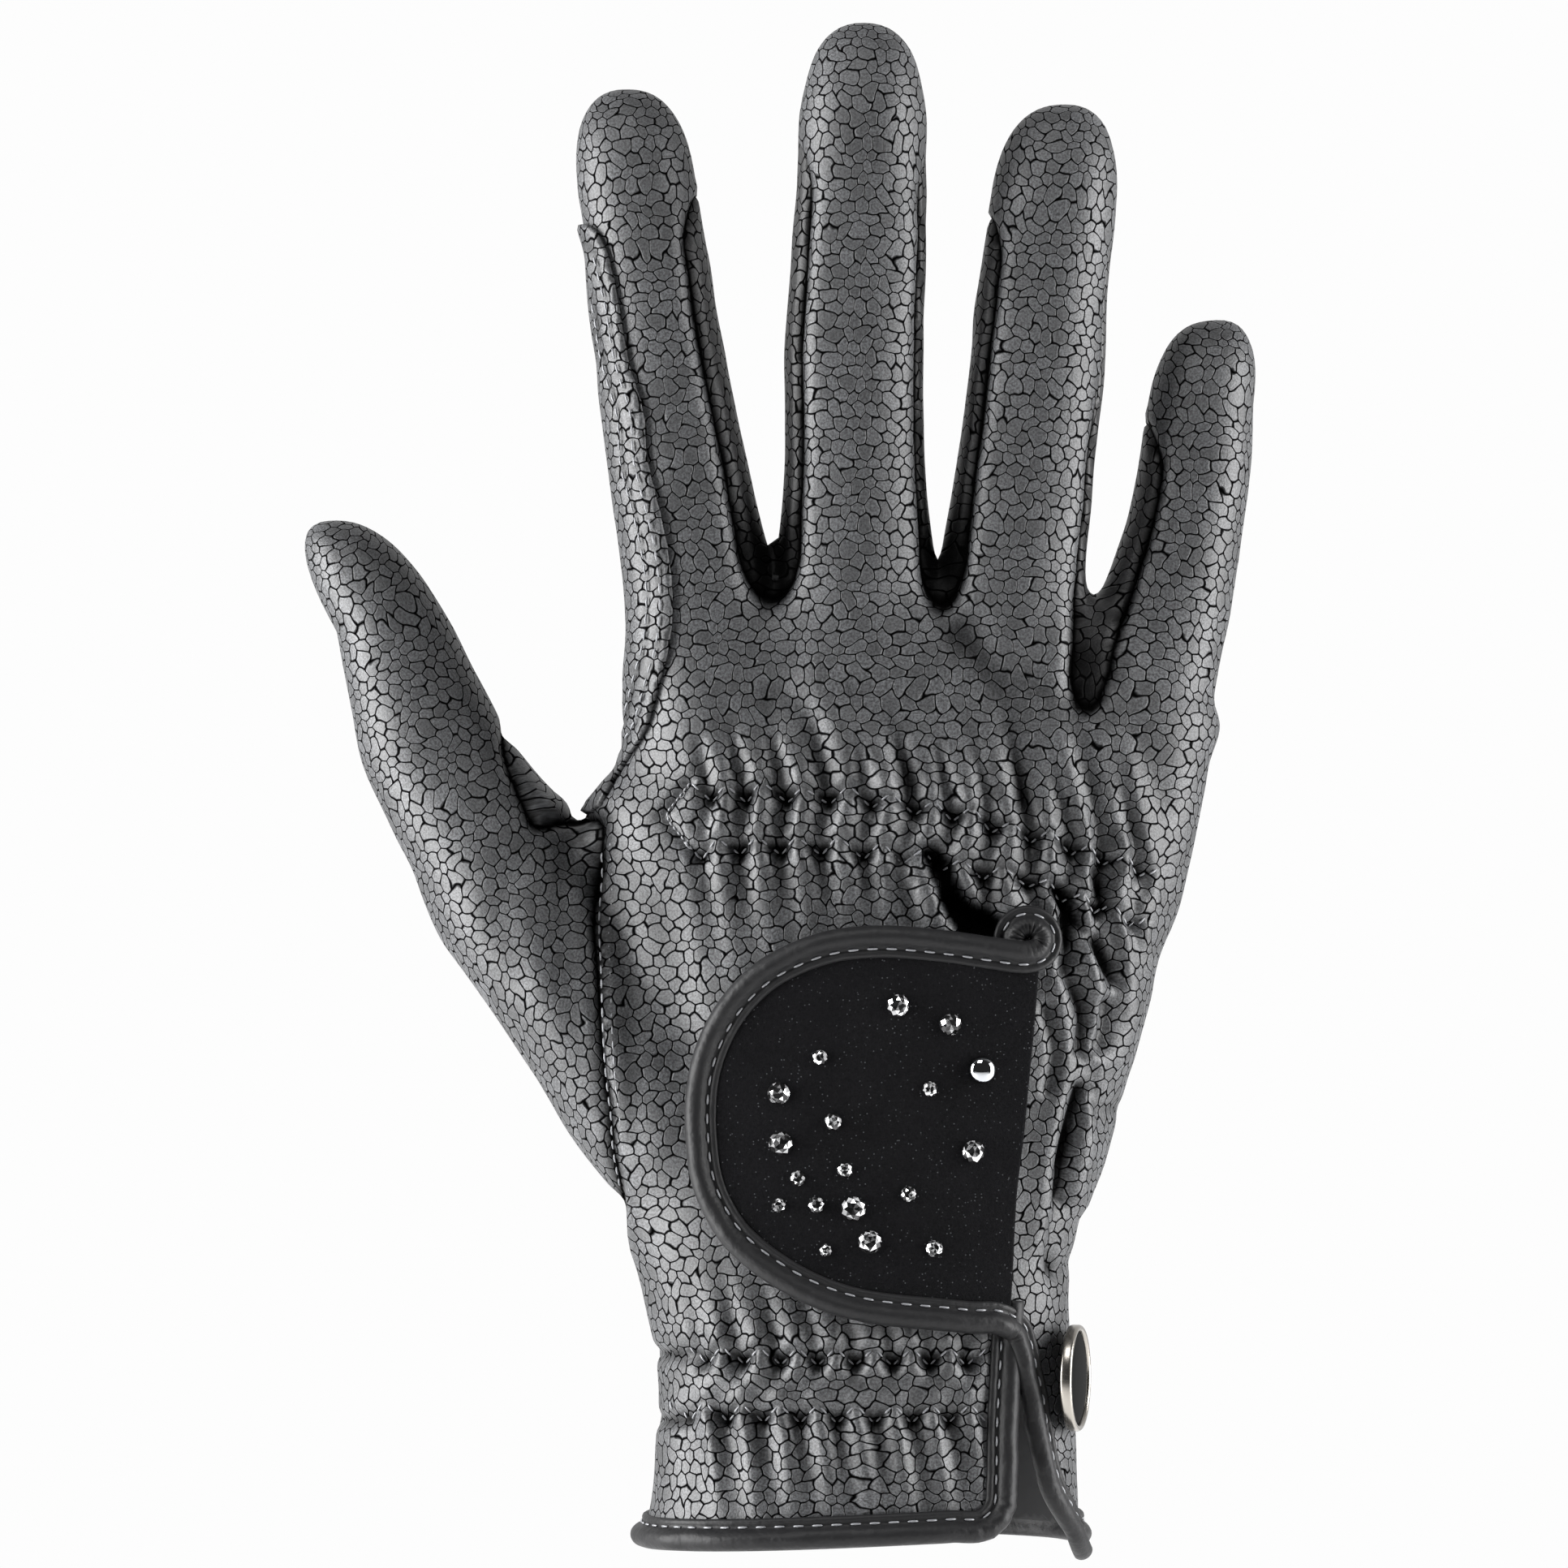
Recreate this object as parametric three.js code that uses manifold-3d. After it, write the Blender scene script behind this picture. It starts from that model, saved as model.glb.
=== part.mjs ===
// A right-hand leather riding glove, filled as if a hand were in it, built from its pattern pieces.
// Millimetres. +X runs from the thumb's side to the little finger's side, +Y from the back of the
// hand to the palm, and +Z from the hem to the fingertips. The origin is the middle of the wrist
// opening, in the plane of the hem.
import * as THREE from 'three';
import Module from 'manifold-3d';
import { mergeVertices } from 'three/addons/utils/BufferGeometryUtils.js';

const wasm = await Module();
wasm.setup();

// Sheet thicknesses and clearances
const leather = 1.4;
const suede = 1.6;
const patchLeather = 1.1;
const sewingGap = 0.35;
const tabLift = 1.3;

// Bound edges: a folded strip of smooth leather around the raw edge
const bindingWidth = 4.6;
const bindingThickness = 2.6;
const hemHeight = 5.6;

// The hand from the hem to the finger roots. left and right are edges of the front outline as
// shares of the width, back and palm are edges of the side outline as shares of the depth.
const hand = {
  root: { x: 0, y: 0, z: 0 }, length: 148, width: 92, depth: 40, lean: 0, curl: 0, roundness: 2.4,
  rows: [
    { at: 0.00, left: -0.365, right: 0.362, back: -0.55, palm: 0.55 },
    { at: 0.05, left: -0.350, right: 0.365, back: -0.54, palm: 0.54 },
    { at: 0.13, left: -0.338, right: 0.360, back: -0.51, palm: 0.51 },
    { at: 0.19, left: -0.337, right: 0.352, back: -0.50, palm: 0.50 },
    { at: 0.26, left: -0.362, right: 0.348, back: -0.50, palm: 0.51 },
    { at: 0.33, left: -0.386, right: 0.364, back: -0.49, palm: 0.53 },
    { at: 0.39, left: -0.397, right: 0.405, back: -0.48, palm: 0.55 },
    { at: 0.49, left: -0.405, right: 0.452, back: -0.47, palm: 0.59 },
    { at: 0.60, left: -0.415, right: 0.494, back: -0.46, palm: 0.60 },
    { at: 0.70, left: -0.452, right: 0.531, back: -0.42, palm: 0.56 },
    { at: 0.76, left: -0.462, right: 0.556, back: -0.40, palm: 0.49 },
    { at: 0.81, left: -0.402, right: 0.571, back: -0.37, palm: 0.42 },
    { at: 0.87, left: -0.385, right: 0.582, back: -0.325, palm: 0.355 },
    { at: 0.92, left: -0.374, right: 0.420, back: -0.28, palm: 0.30 },
    { at: 0.97, left: -0.365, right: 0.340, back: -0.21, palm: 0.22 },
    { at: 1.00, left: -0.320, right: 0.290, back: -0.16, palm: 0.17 },
    { at: 1.03, left: -0.290, right: 0.240, back: -0.09, palm: 0.10 },
  ],
};

// The digits. root is where the middle line starts inside the hand, lean moves the tip sideways,
// curl bends it towards the palm, and tip is the height of the rounded end. A root is given as
// shares of the hand's width, depth and length.
const digits = {
  thumb: {
    root: { x: -0.2391, y: 0.1, z: 0.3378 }, length: 108.5, width: 22, depth: 20,
    lean: -59.5, curl: 9, tip: 17, roundness: 2.1, rows: [
      { at: 0.00, left: -0.50, right: 0.55, back: -0.82, palm: 0.80 },
      { at: 0.09, left: -0.66, right: 0.70, back: -0.90, palm: 0.86 },
      { at: 0.22, left: -0.72, right: 0.77, back: -0.92, palm: 0.90 },
      { at: 0.31, left: -0.78, right: 0.66, back: -0.89, palm: 0.88 },
      { at: 0.40, left: -0.85, right: 0.60, back: -0.82, palm: 0.82 },
      { at: 0.50, left: -0.79, right: 0.62, back: -0.72, palm: 0.73 },
      { at: 0.59, left: -0.77, right: 0.53, back: -0.63, palm: 0.64 },
      { at: 0.65, left: -0.74, right: 0.42, back: -0.57, palm: 0.58 },
      { at: 0.73, left: -0.60, right: 0.40, back: -0.52, palm: 0.53 },
      { at: 0.84, left: -0.42, right: 0.41, back: -0.48, palm: 0.49 },
    ],
  },
  index: {
    root: { x: -0.2609, y: -0.0375, z: 0.8108 }, length: 105.2, width: 22, depth: 20,
    lean: -11, curl: 11, tip: 17, roundness: 2.15, rows: [
      { at: 0.00, left: -0.37, right: 0.58, back: -0.50, palm: 0.50 },
      { at: 0.27, left: -0.375, right: 0.59, back: -0.52, palm: 0.50 },
      { at: 0.46, left: -0.370, right: 0.52, back: -0.51, palm: 0.50 },
      { at: 0.65, left: -0.385, right: 0.43, back: -0.48, palm: 0.47 },
      { at: 0.76, left: -0.41, right: 0.40, back: -0.46, palm: 0.45 },
      { at: 0.84, left: -0.475, right: 0.38, back: -0.45, palm: 0.44 },
    ],
  },
  middle: {
    root: { x: -0.0130, y: -0.05, z: 0.8108 }, length: 115.2, width: 22, depth: 20.5,
    lean: 1.5, curl: 10, tip: 20, roundness: 2.15, rows: [
      { at: 0.00, left: -0.522, right: 0.520, back: -0.50, palm: 0.50 },
      { at: 0.26, left: -0.522, right: 0.520, back: -0.52, palm: 0.50 },
      { at: 0.42, left: -0.502, right: 0.480, back: -0.50, palm: 0.49 },
      { at: 0.60, left: -0.502, right: 0.460, back: -0.49, palm: 0.48 },
      { at: 0.73, left: -0.462, right: 0.470, back: -0.47, palm: 0.46 },
      { at: 0.82, left: -0.432, right: 0.470, back: -0.45, palm: 0.44 },
    ],
  },
  ring: {
    root: { x: 0.2283, y: -0.025, z: 0.7973 }, length: 105, width: 22, depth: 20,
    lean: 9.7, curl: 11, tip: 18, roundness: 2.15, rows: [
      { at: 0.00, left: -0.495, right: 0.485, back: -0.50, palm: 0.50 },
      { at: 0.29, left: -0.495, right: 0.475, back: -0.52, palm: 0.50 },
      { at: 0.43, left: -0.495, right: 0.485, back: -0.50, palm: 0.49 },
      { at: 0.58, left: -0.465, right: 0.485, back: -0.49, palm: 0.48 },
      { at: 0.72, left: -0.445, right: 0.475, back: -0.47, palm: 0.46 },
      { at: 0.83, left: -0.415, right: 0.475, back: -0.45, palm: 0.44 },
    ],
  },
  little: {
    root: { x: 0.4457, y: 0.0375, z: 0.7095 }, length: 84.7, width: 20, depth: 18,
    lean: 12.8, curl: 9, tip: 13.7, roundness: 2.15, rows: [
      { at: 0.00, left: -0.475, right: 0.445, back: -0.52, palm: 0.52 },
      { at: 0.30, left: -0.555, right: 0.485, back: -0.54, palm: 0.52 },
      { at: 0.40, left: -0.555, right: 0.505, back: -0.53, palm: 0.51 },
      { at: 0.51, left: -0.475, right: 0.525, back: -0.51, palm: 0.49 },
      { at: 0.63, left: -0.385, right: 0.515, back: -0.48, palm: 0.47 },
      { at: 0.75, left: -0.355, right: 0.495, back: -0.46, palm: 0.45 },
      { at: 0.84, left: -0.355, right: 0.465, back: -0.45, palm: 0.44 },
    ],
  },
};
const tipPower = 2.8;

// A limb's root in millimetres
function rootOf(limb) {
  return { x: hand.width * limb.root.x, y: hand.depth * limb.root.y, z: hand.length * limb.root.z };
}

// Elastic shirring across the back: ribs stand up where zigzag rows gather the leather. at is the
// height on the hand, drop is how far the row falls from the thumb's side to the other side,
// reach is how far the ribs fade up and down, height is the rib's height in leather walls, and
// end is where the ribs stop, as a share of the hand's width.
const shirring = [
  { at: 0.16, drop: 0.00, reach: 0.10, height: 0.75, end: 0.22 },
  { at: 0.72, drop: 0.09, reach: 0.08, height: 0.95, end: 0.60 },
];

// Soft folds: ridges along lines. x is a share of the hand's width and z of its length, spread is
// in millimetres, height in leather walls, and side is -1 for the back and +1 for the palm.
const folds = [
  { side: -1, fromX: 0.20, fromZ: 0.88, toX: 0.44, toZ: 0.72, spread: 4.5, height: 0.9 },
  { side: -1, fromX: -0.24, fromZ: 0.86, toX: 0.12, toZ: 0.80, spread: 4.5, height: 0.8 },
  { side: -1, fromX: 0.34, fromZ: 0.62, toX: 0.37, toZ: 0.34, spread: 2.4, height: 1.1 },
  { side: -1, fromX: 0.42, fromZ: 0.66, toX: 0.40, toZ: 0.44, spread: 2.6, height: 1.1 },
  { side: -1, fromX: 0.33, fromZ: 0.42, toX: 0.33, toZ: 0.28, spread: 2.2, height: 0.8 },
  { side: -1, fromX: -0.36, fromZ: 0.66, toX: -0.34, toZ: 0.34, spread: 3.4, height: 0.9 },
  { side: 1, fromX: -0.26, fromZ: 0.86, toX: -0.06, toZ: 0.30, spread: 5.0, height: 0.9 },
  { side: 1, fromX: -0.20, fromZ: 0.80, toX: 0.46, toZ: 0.72, spread: 4.5, height: 0.8 },
  { side: 1, fromX: -0.30, fromZ: 0.24, toX: 0.30, toZ: 0.26, spread: 4.0, height: 0.9 },
];
const handTop = 1.03;
const hemRise = 0.045;
const hemRiseReach = 0.2;
const backRibs = 17;
const palmPoints = 13;
const rowsUpHand = 23;

// The cuff's vent: a slit on the little finger's side of the back. at is a share of the hand's
// length, left and right are its edges as shares of the hand's width.
const vent = [
  { at: -0.10, left: 0.232, right: 0.345 },
  { at: 0.00, left: 0.236, right: 0.330 },
  { at: 0.10, left: 0.236, right: 0.274 },
  { at: 0.22, left: 0.224, right: 0.236 },
  { at: 0.42, left: 0.214, right: 0.236 },
  { at: 0.62, left: 0.184, right: 0.250 },
  { at: 0.69, left: 0.140, right: 0.190 },
];
const ventFarBinding = [{ at: 0.068, x: 0.302 }, { at: 0.10, x: 0.284 }, { at: 0.16, x: 0.265 }, { at: 0.20, x: 0.250 }];

// The closure tab: a half round end on a straight stem that starts at the vent's far edge.
const tab = {
  middle: { x: 3, z: 64.7 }, reach: 29.4, halfHeight: 31, roundness: 2.2,
  stemTop: { x: 26, drop: 2.6 }, stemBottom: { x: 21.5, drop: 0 },
};
const tabColumns = 12;
const tabRows = 6;
const curlRadius = 3.1;
const curlTurn = 3.9;

// Stones glued on the tab: x and z as shares of the tab's reach and half height from its middle.
const stoneHeightShare = 0.42;
const tableShare = 0.5;
const stones = [
  { x: 0.09, z: 0.62, size: 3.4 }, { x: 0.35, z: 0.53, size: 3.2 }, { x: -0.31, z: 0.36, size: 2.2 },
  { x: 0.51, z: 0.30, size: 4.2 }, { x: 0.25, z: 0.21, size: 2.2 }, { x: -0.52, z: 0.19, size: 3.4 },
  { x: -0.25, z: 0.05, size: 2.6 }, { x: -0.51, z: -0.06, size: 3.6 }, { x: 0.46, z: -0.10, size: 3.4 },
  { x: -0.43, z: -0.23, size: 2.4 }, { x: -0.19, z: -0.19, size: 2.2 }, { x: 0.14, z: -0.30, size: 2.4 },
  { x: -0.52, z: -0.36, size: 2.1 }, { x: -0.33, z: -0.36, size: 2.5 }, { x: -0.14, z: -0.38, size: 3.7 },
  { x: -0.06, z: -0.54, size: 3.5 }, { x: -0.28, z: -0.58, size: 2.0 }, { x: 0.26, z: -0.57, size: 2.6 },
];

// The round badge on the cuff, on the little finger's side. height and deep place it as shares of
// the hand's length and depth, and standOff holds the flat cup clear of the curved wall.
const badge = {
  height: 0.1804, deep: -0.2475, standOff: 2.03, diameter: 16.3, rim: 0.9, thickness: 1.8, recess: 0.3,
  faceAngle: 77,
};

// Seam between the thumb piece and the hand: at is a share of the hand's length, x of its width
const thumbSeam = [
  { at: 0.33, x: -0.400 }, { at: 0.42, x: -0.415 }, { at: 0.60, x: -0.425 },
  { at: 0.745, x: -0.438 }, { at: 0.775, x: -0.490 }, { at: 0.90, x: -0.620 }, { at: 1.20, x: -0.640 },
];

// Edge of the index finger's rein patch: at is a share of the index finger's length above its
// root, across is a share of its width from the middle line
const patchEdge = [
  { at: 0.80, across: -0.60 }, { at: 0.79, across: -0.39 }, { at: 0.76, across: -0.31 },
  { at: 0.71, across: -0.28 }, { at: 0.59, across: -0.23 }, { at: 0.44, across: -0.16 },
  { at: 0.26, across: -0.09 }, { at: 0.19, across: -0.15 }, { at: 0.11, across: -0.27 },
  { at: 0.03, across: -0.44 }, { at: -0.03, across: -0.66 }, { at: -0.055, across: -0.90 },
];

// Side strips between the fingers, folded at each crotch. crotch is the share of the first
// finger's length where the fold lies.
const stripWidth = 11;
const stripTipWidth = 5;
const stripTipMargin = 8;
const stripFold = 6;
const fourchettes = [
  { name: 'fourchette_index_middle', first: 'index', second: 'middle', crotch: 0.26 },
  { name: 'fourchette_middle_ring', first: 'middle', second: 'ring', crotch: 0.24 },
  { name: 'fourchette_ring_little', first: 'ring', second: 'little', crotch: 0.13 },
];

const sectionColumns = ['left', 'right', 'back', 'palm'];

// A section of a limb at a share of its length: middle, half width and half depth
function sectioner(limb) {
  const root = rootOf(limb);
  const curve = new THREE.CubicInterpolant(
    limb.rows.map((row) => row.at),
    limb.rows.flatMap((row) => sectionColumns.map((name) => row[name])),
    sectionColumns.length,
  );
  return (at) => {
    const [left, right, back, palm] = curve.evaluate(at);
    return {
      x: root.x + limb.lean * at + limb.width * (left + right) / 2,
      y: root.y + limb.curl * at * at + limb.depth * (back + palm) / 2,
      z: root.z + limb.length * at,
      halfWidth: limb.width * (right - left) / 2,
      halfDepth: limb.depth * (palm - back) / 2,
    };
  };
}

const handSection = sectioner(hand);
const digitSection = Object.fromEntries(Object.entries(digits).map(([name, limb]) => [name, sectioner(limb)]));

// A point on a superellipse, with the angle counted from +X towards +Y
function superellipse(section, angle, roundness) {
  const c = Math.cos(angle);
  const s = Math.sin(angle);
  const power = 2 / roundness;
  return new THREE.Vector3(
    section.x + section.halfWidth * Math.sign(c) * Math.abs(c) ** power,
    section.y + section.halfDepth * Math.sign(s) * Math.abs(s) ** power,
    section.z,
  );
}

// A closed mesh through rings of points. The rings run anticlockwise seen from the last ring.
function loft(rings) {
  const count = rings[0].length;
  const points = rings.flat();
  const faces = [];
  for (let i = 0; i < rings.length - 1; i++) {
    for (let j = 0; j < count; j++) {
      const next = (j + 1) % count;
      const a = i * count + j;
      const b = i * count + next;
      faces.push(a, b, b + count, a, b + count, a + count);
    }
  }
  const centre = (ring) => ring.reduce((sum, p) => sum.add(p), new THREE.Vector3()).divideScalar(count);
  const first = points.length;
  points.push(centre(rings[0]), centre(rings.at(-1)));
  const top = (rings.length - 1) * count;
  for (let j = 0; j < count; j++) {
    const next = (j + 1) % count;
    faces.push(first, next, j, first + 1, top + j, top + next);
  }
  const geometry = new THREE.BufferGeometry().setFromPoints(points);
  geometry.setIndex(faces);
  return geometry;
}

function toSolid(geometry) {
  const plain = geometry.clone();
  plain.deleteAttribute('normal');
  plain.deleteAttribute('uv');
  const merged = mergeVertices(plain, 1e-3);
  return new wasm.Manifold(new wasm.Mesh({
    numProp: 3,
    vertProperties: new Float32Array(merged.attributes.position.array),
    triVerts: new Uint32Array(merged.index.array),
  }));
}

function toGeometry(solid) {
  const mesh = solid.getMesh();
  const geometry = new THREE.BufferGeometry();
  geometry.setAttribute('position', new THREE.BufferAttribute(new Float32Array(mesh.vertProperties), 3));
  geometry.setIndex(new THREE.BufferAttribute(new Uint32Array(mesh.triVerts), 1));
  return geometry;
}

// A cut can leave slivers where two curved walls cross; the piece is the largest body
function largest(solid) {
  return solid.decompose().reduce((best, body) => (body.volume() > best.volume() ? body : best));
}

const hemTop = (hemHeight + sewingGap) / hand.length;

// How far a rib stands out of the hand at a section's point
function ribHeight(at, x, angle) {
  const backShare = -Math.sin(angle);
  if (backShare < 0) return 0;
  const across = (x + hand.width / 2) / hand.width;
  return shirring.reduce((sum, band) => {
    const distance = (at - (band.at - band.drop * (across - 0.5))) / band.reach;
    const inside = THREE.MathUtils.clamp((band.end - x / hand.width) * 10, 0, 1);
    return sum + leather * band.height * inside * Math.exp(-distance * distance) * Math.min(1, 2 * backShare);
  }, 0);
}

// How far the soft folds lift a section's point: each is a ridge along a line in the front view
function foldHeight(point, angle) {
  const facing = Math.sin(angle);
  return folds.reduce((sum, fold) => {
    if (facing * fold.side < 0) return sum;
    const line = new THREE.Line3(
      new THREE.Vector3(hand.width * fold.fromX, 0, hand.length * fold.fromZ),
      new THREE.Vector3(hand.width * fold.toX, 0, hand.length * fold.toZ),
    );
    const flat = new THREE.Vector3(point.x, 0, point.z);
    const distance = line.closestPointToPoint(flat, true, new THREE.Vector3()).distanceTo(flat) / fold.spread;
    return sum + leather * fold.height * Math.exp(-distance * distance) * Math.min(1, 2 * Math.abs(facing));
  }, 0);
}

// Angles round the hand: an even count along the back, so that ribs and valleys alternate, and
// fewer along the palm
const backAngles = Array.from({ length: backRibs * 2 }, (_, k) => Math.PI + Math.PI * (k + 0.5) / (backRibs * 2));
const palmAngles = Array.from({ length: palmPoints }, (_, k) => Math.PI * (k + 0.5) / palmPoints);

// The back of the hem rises towards the vent, and the rows above it follow
function hemLift(point, at) {
  const share = THREE.MathUtils.clamp((hemRiseReach - at) / (hemRiseReach - hemTop), 0, 1);
  const towardsBack = THREE.MathUtils.clamp(-2 * point.y / hand.depth, 0, 1);
  return hemRise * (point.x + hand.width * 0.37) * share * towardsBack;
}

// The hand's body. grow moves its wall outwards and ribs says whether the shirring stands on it.
function handBody({ from, grow = 0, ribs = true, steps = rowsUpHand }) {
  const rings = [];
  for (let i = 0; i <= steps; i++) {
    const at = from + (handTop - from) * i / steps;
    const section = handSection(Math.max(at, 0));
    section.z = hand.length * at + (i === steps ? grow : 0);
    section.halfWidth += grow;
    section.halfDepth += grow;
    const angles = ribs ? [...palmAngles, ...backAngles] : palmAngles.concat(backAngles.filter((_, k) => k % 2));
    rings.push(angles.map((angle, k) => {
      const point = superellipse(section, angle, hand.roundness);
      const rib = ribs && k % 2 ? ribHeight(at, point.x, angle) : 0;
      const relief = ribs ? rib + foldHeight(point, angle) : 0;
      point.add(new THREE.Vector3(Math.cos(angle), Math.sin(angle), 0).multiplyScalar(relief));
      return point.setZ(point.z + hemLift(point, at));
    }));
  }
  return toSolid(loft(rings));
}

// A finger or thumb: even rings up to the rounded end, then rings that close over the tip
function digitBody(name, { grow = 0, around = 16, steps = 7, tipSteps = 4 } = {}) {
  const limb = digits[name];
  const tipStart = 1 - limb.tip / limb.length;
  const ring = (section, shrink) => Array.from({ length: around }, (_, k) => superellipse({
    ...section,
    halfWidth: (section.halfWidth + grow) * shrink,
    halfDepth: (section.halfDepth + grow) * shrink,
  }, 2 * Math.PI * k / around, limb.roundness));
  const rings = [];
  for (let i = 0; i <= steps; i++) {
    rings.push(ring(digitSection[name](tipStart * i / steps), 1));
  }
  for (let i = 1; i <= tipSteps; i++) {
    const rise = Math.sin(Math.PI / 2 * i / (tipSteps + 0.3));
    const section = digitSection[name](tipStart);
    const shift = limb.tip / limb.length * rise;
    section.x += limb.lean * shift;
    section.y += limb.curl * ((tipStart + shift) ** 2 - tipStart ** 2);
    section.z += (limb.tip + grow) * rise;
    rings.push(ring(section, (1 - rise ** tipPower) ** (1 / tipPower)));
  }
  return toSolid(loft(rings));
}

// A flat outline in X and Z, cut through the whole depth of the glove. y limits keep it to one side.
function prism(outline, yLow = -2 * hand.depth, yHigh = 2 * hand.depth) {
  const shape = new THREE.Shape(outline.map((p) => new THREE.Vector2(p.x, p.z)));
  const geometry = new THREE.ExtrudeGeometry(shape, { depth: yHigh - yLow, bevelEnabled: false });
  geometry.rotateX(Math.PI / 2);
  geometry.translate(0, yHigh, 0);
  return toSolid(geometry);
}

const unite = (solids) => solids.reduce((sum, solid) => sum.add(solid));
const digitNames = Object.keys(digits);
const outer = unite([handBody({ from: hemTop }), ...digitNames.map((name) => digitBody(name))]);
const inner = unite([
  handBody({ from: -0.1, grow: -leather, ribs: false, steps: 9 }),
  ...digitNames.map((name) => digitBody(name, { grow: -leather, around: 10, steps: 4, tipSteps: 2 })),
]);
const ventOutline = [
  ...vent.map((row) => ({ x: hand.width * row.left - bindingWidth - 2 * sewingGap, z: hand.length * row.at })),
  ...vent.toReversed().map((row) => ({ x: hand.width * row.right, z: hand.length * row.at })),
];
const shell = outer.subtract(inner).subtract(prism(ventOutline, -2 * hand.depth, 0));

// The thumb piece lies outside the seam's line, and grow moves that line into the hand
function thumbRegion(grow) {
  const far = -2 * hand.width;
  return prism([
    { x: far, z: hand.length * thumbSeam[0].at - 5 - grow },
    ...thumbSeam.map((row, i) => ({
      x: hand.width * row.x + 2 * grow, z: hand.length * row.at - (i === 0 ? grow : 0),
    })),
    { x: far, z: hand.length * thumbSeam.at(-1).at },
  ]);
}

// One leg of a fourchette: a slab beside a finger, from its middle line outwards. direction is
// +1 towards the little finger and -1 towards the thumb.
function stripLeg(name, direction, bottom, grow) {
  const limb = digits[name];
  const start = (bottom - rootOf(limb).z) / limb.length;
  const end = 1 - stripTipMargin / limb.length;
  const tipStart = 1 - limb.tip / limb.length;
  const steps = 5;
  const rings = [];
  for (let i = 0; i <= steps; i++) {
    const share = i / steps;
    const at = start + (end - start) * share + (i === steps ? grow : i === 0 ? -grow : 0) / limb.length;
    const section = digitSection[name](Math.min(at, tipStart));
    const half = THREE.MathUtils.lerp(stripWidth, stripTipWidth, share) / 2 + grow;
    const centre = section.y + limb.curl * (at * at - Math.min(at, tipStart) ** 2);
    const near = section.x + direction * (section.halfWidth * 0.1 - grow);
    const far = section.x + direction * (section.halfWidth * 1.25 + grow);
    const z = rootOf(limb).z + limb.length * at;
    const corners = [[near, -half], [far, -half], [far, half], [near, half]];
    if (direction < 0) corners.reverse();
    rings.push(corners.map(([x, y]) => new THREE.Vector3(x, centre + y, z)));
  }
  return toSolid(loft(rings));
}

function fourchetteRegion({ first, second, crotch }, grow) {
  const limb = digits[first];
  const bottom = rootOf(limb).z + limb.length * crotch - stripFold;
  return stripLeg(first, 1, bottom, grow).add(stripLeg(second, -1, bottom, grow));
}

// The rein patch: a second layer on the index finger and the hand's edge beside it
function patchPiece() {
  const limb = digits.index;
  const outline = patchEdge.map((row) => ({
    x: rootOf(limb).x + limb.lean * row.at + limb.width * row.across,
    z: rootOf(limb).z + limb.length * row.at,
  }));
  const far = -2 * hand.width;
  const region = prism([
    ...outline,
    { x: far, z: outline.at(-1).z },
    { x: far, z: outline[0].z },
  ].toReversed());
  const layer = (grow) => handBody({ from: hemTop, grow }).add(digitBody('index', { grow }));
  const piece = layer(sewingGap + patchLeather).subtract(layer(sewingGap)).intersect(region);
  return largest(piece.subtract(thumbRegion(sewingGap)));
}

// The hand's back surface: its depth and outward normal at a place in the front view
function backDepth(x, z) {
  const section = handSection(THREE.MathUtils.clamp(z / hand.length, 0, 1));
  const across = Math.min(Math.abs((x - section.x) / section.halfWidth), 0.985);
  return section.y - section.halfDepth * (1 - across ** hand.roundness) ** (1 / hand.roundness);
}

function backNormal(x, z) {
  const step = 0.5;
  const slopeX = (backDepth(x + step, z) - backDepth(x - step, z)) / (2 * step);
  const slopeZ = (backDepth(x, z + step) - backDepth(x, z - step)) / (2 * step);
  return new THREE.Vector3(slopeX, -1, slopeZ).normalize();
}

// A place on the back, lifted off its surface
function onBack(x, z, lift) {
  return new THREE.Vector3(x, backDepth(x, z), z).addScaledVector(backNormal(x, z), lift);
}

// The tab's outline seen from the front. inset moves it inwards from the outer edge.
function tabEdge(x, direction, inset) {
  const reach = tab.reach - inset;
  const half = tab.halfHeight - inset;
  const stem = direction > 0 ? tab.stemTop : tab.stemBottom;
  if (x > tab.middle.x) {
    const along = (x - tab.middle.x) / (stem.x - tab.middle.x);
    return tab.middle.z + direction * (half - stem.drop * along);
  }
  const across = Math.min((tab.middle.x - x) / reach, 1);
  return tab.middle.z + direction * half * (1 - across ** tab.roundness) ** (1 / tab.roundness);
}

// The tab's suede panel: a grid of columns between its two edges, with a front, a back and a rim
function tabPanel() {
  const inset = bindingWidth + sewingGap;
  const leftEnd = tab.middle.x - (tab.reach - inset);
  const rings = [];
  const bands = [];
  for (let i = 0; i <= tabColumns; i++) {
    const share = 1 - Math.cos(Math.PI / 2 * (i + 0.35) / (tabColumns + 0.35));
    bands.push(share);
  }
  for (const share of bands) {
    const ring = [];
    for (const [direction, lift] of [[1, tabLift], [-1, tabLift + suede]]) {
      for (let j = 0; j <= tabRows; j++) {
        const across = direction > 0 ? j / tabRows : 1 - j / tabRows;
        const right = THREE.MathUtils.lerp(tab.stemBottom.x, tab.stemTop.x, across) - sewingGap;
        const x = THREE.MathUtils.lerp(leftEnd, right, share);
        const z = THREE.MathUtils.lerp(tabEdge(x, -1, inset), tabEdge(x, 1, inset), across);
        ring.push(onBack(x, z, lift));
      }
    }
    rings.push(ring);
  }
  return loft(rings);
}

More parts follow.
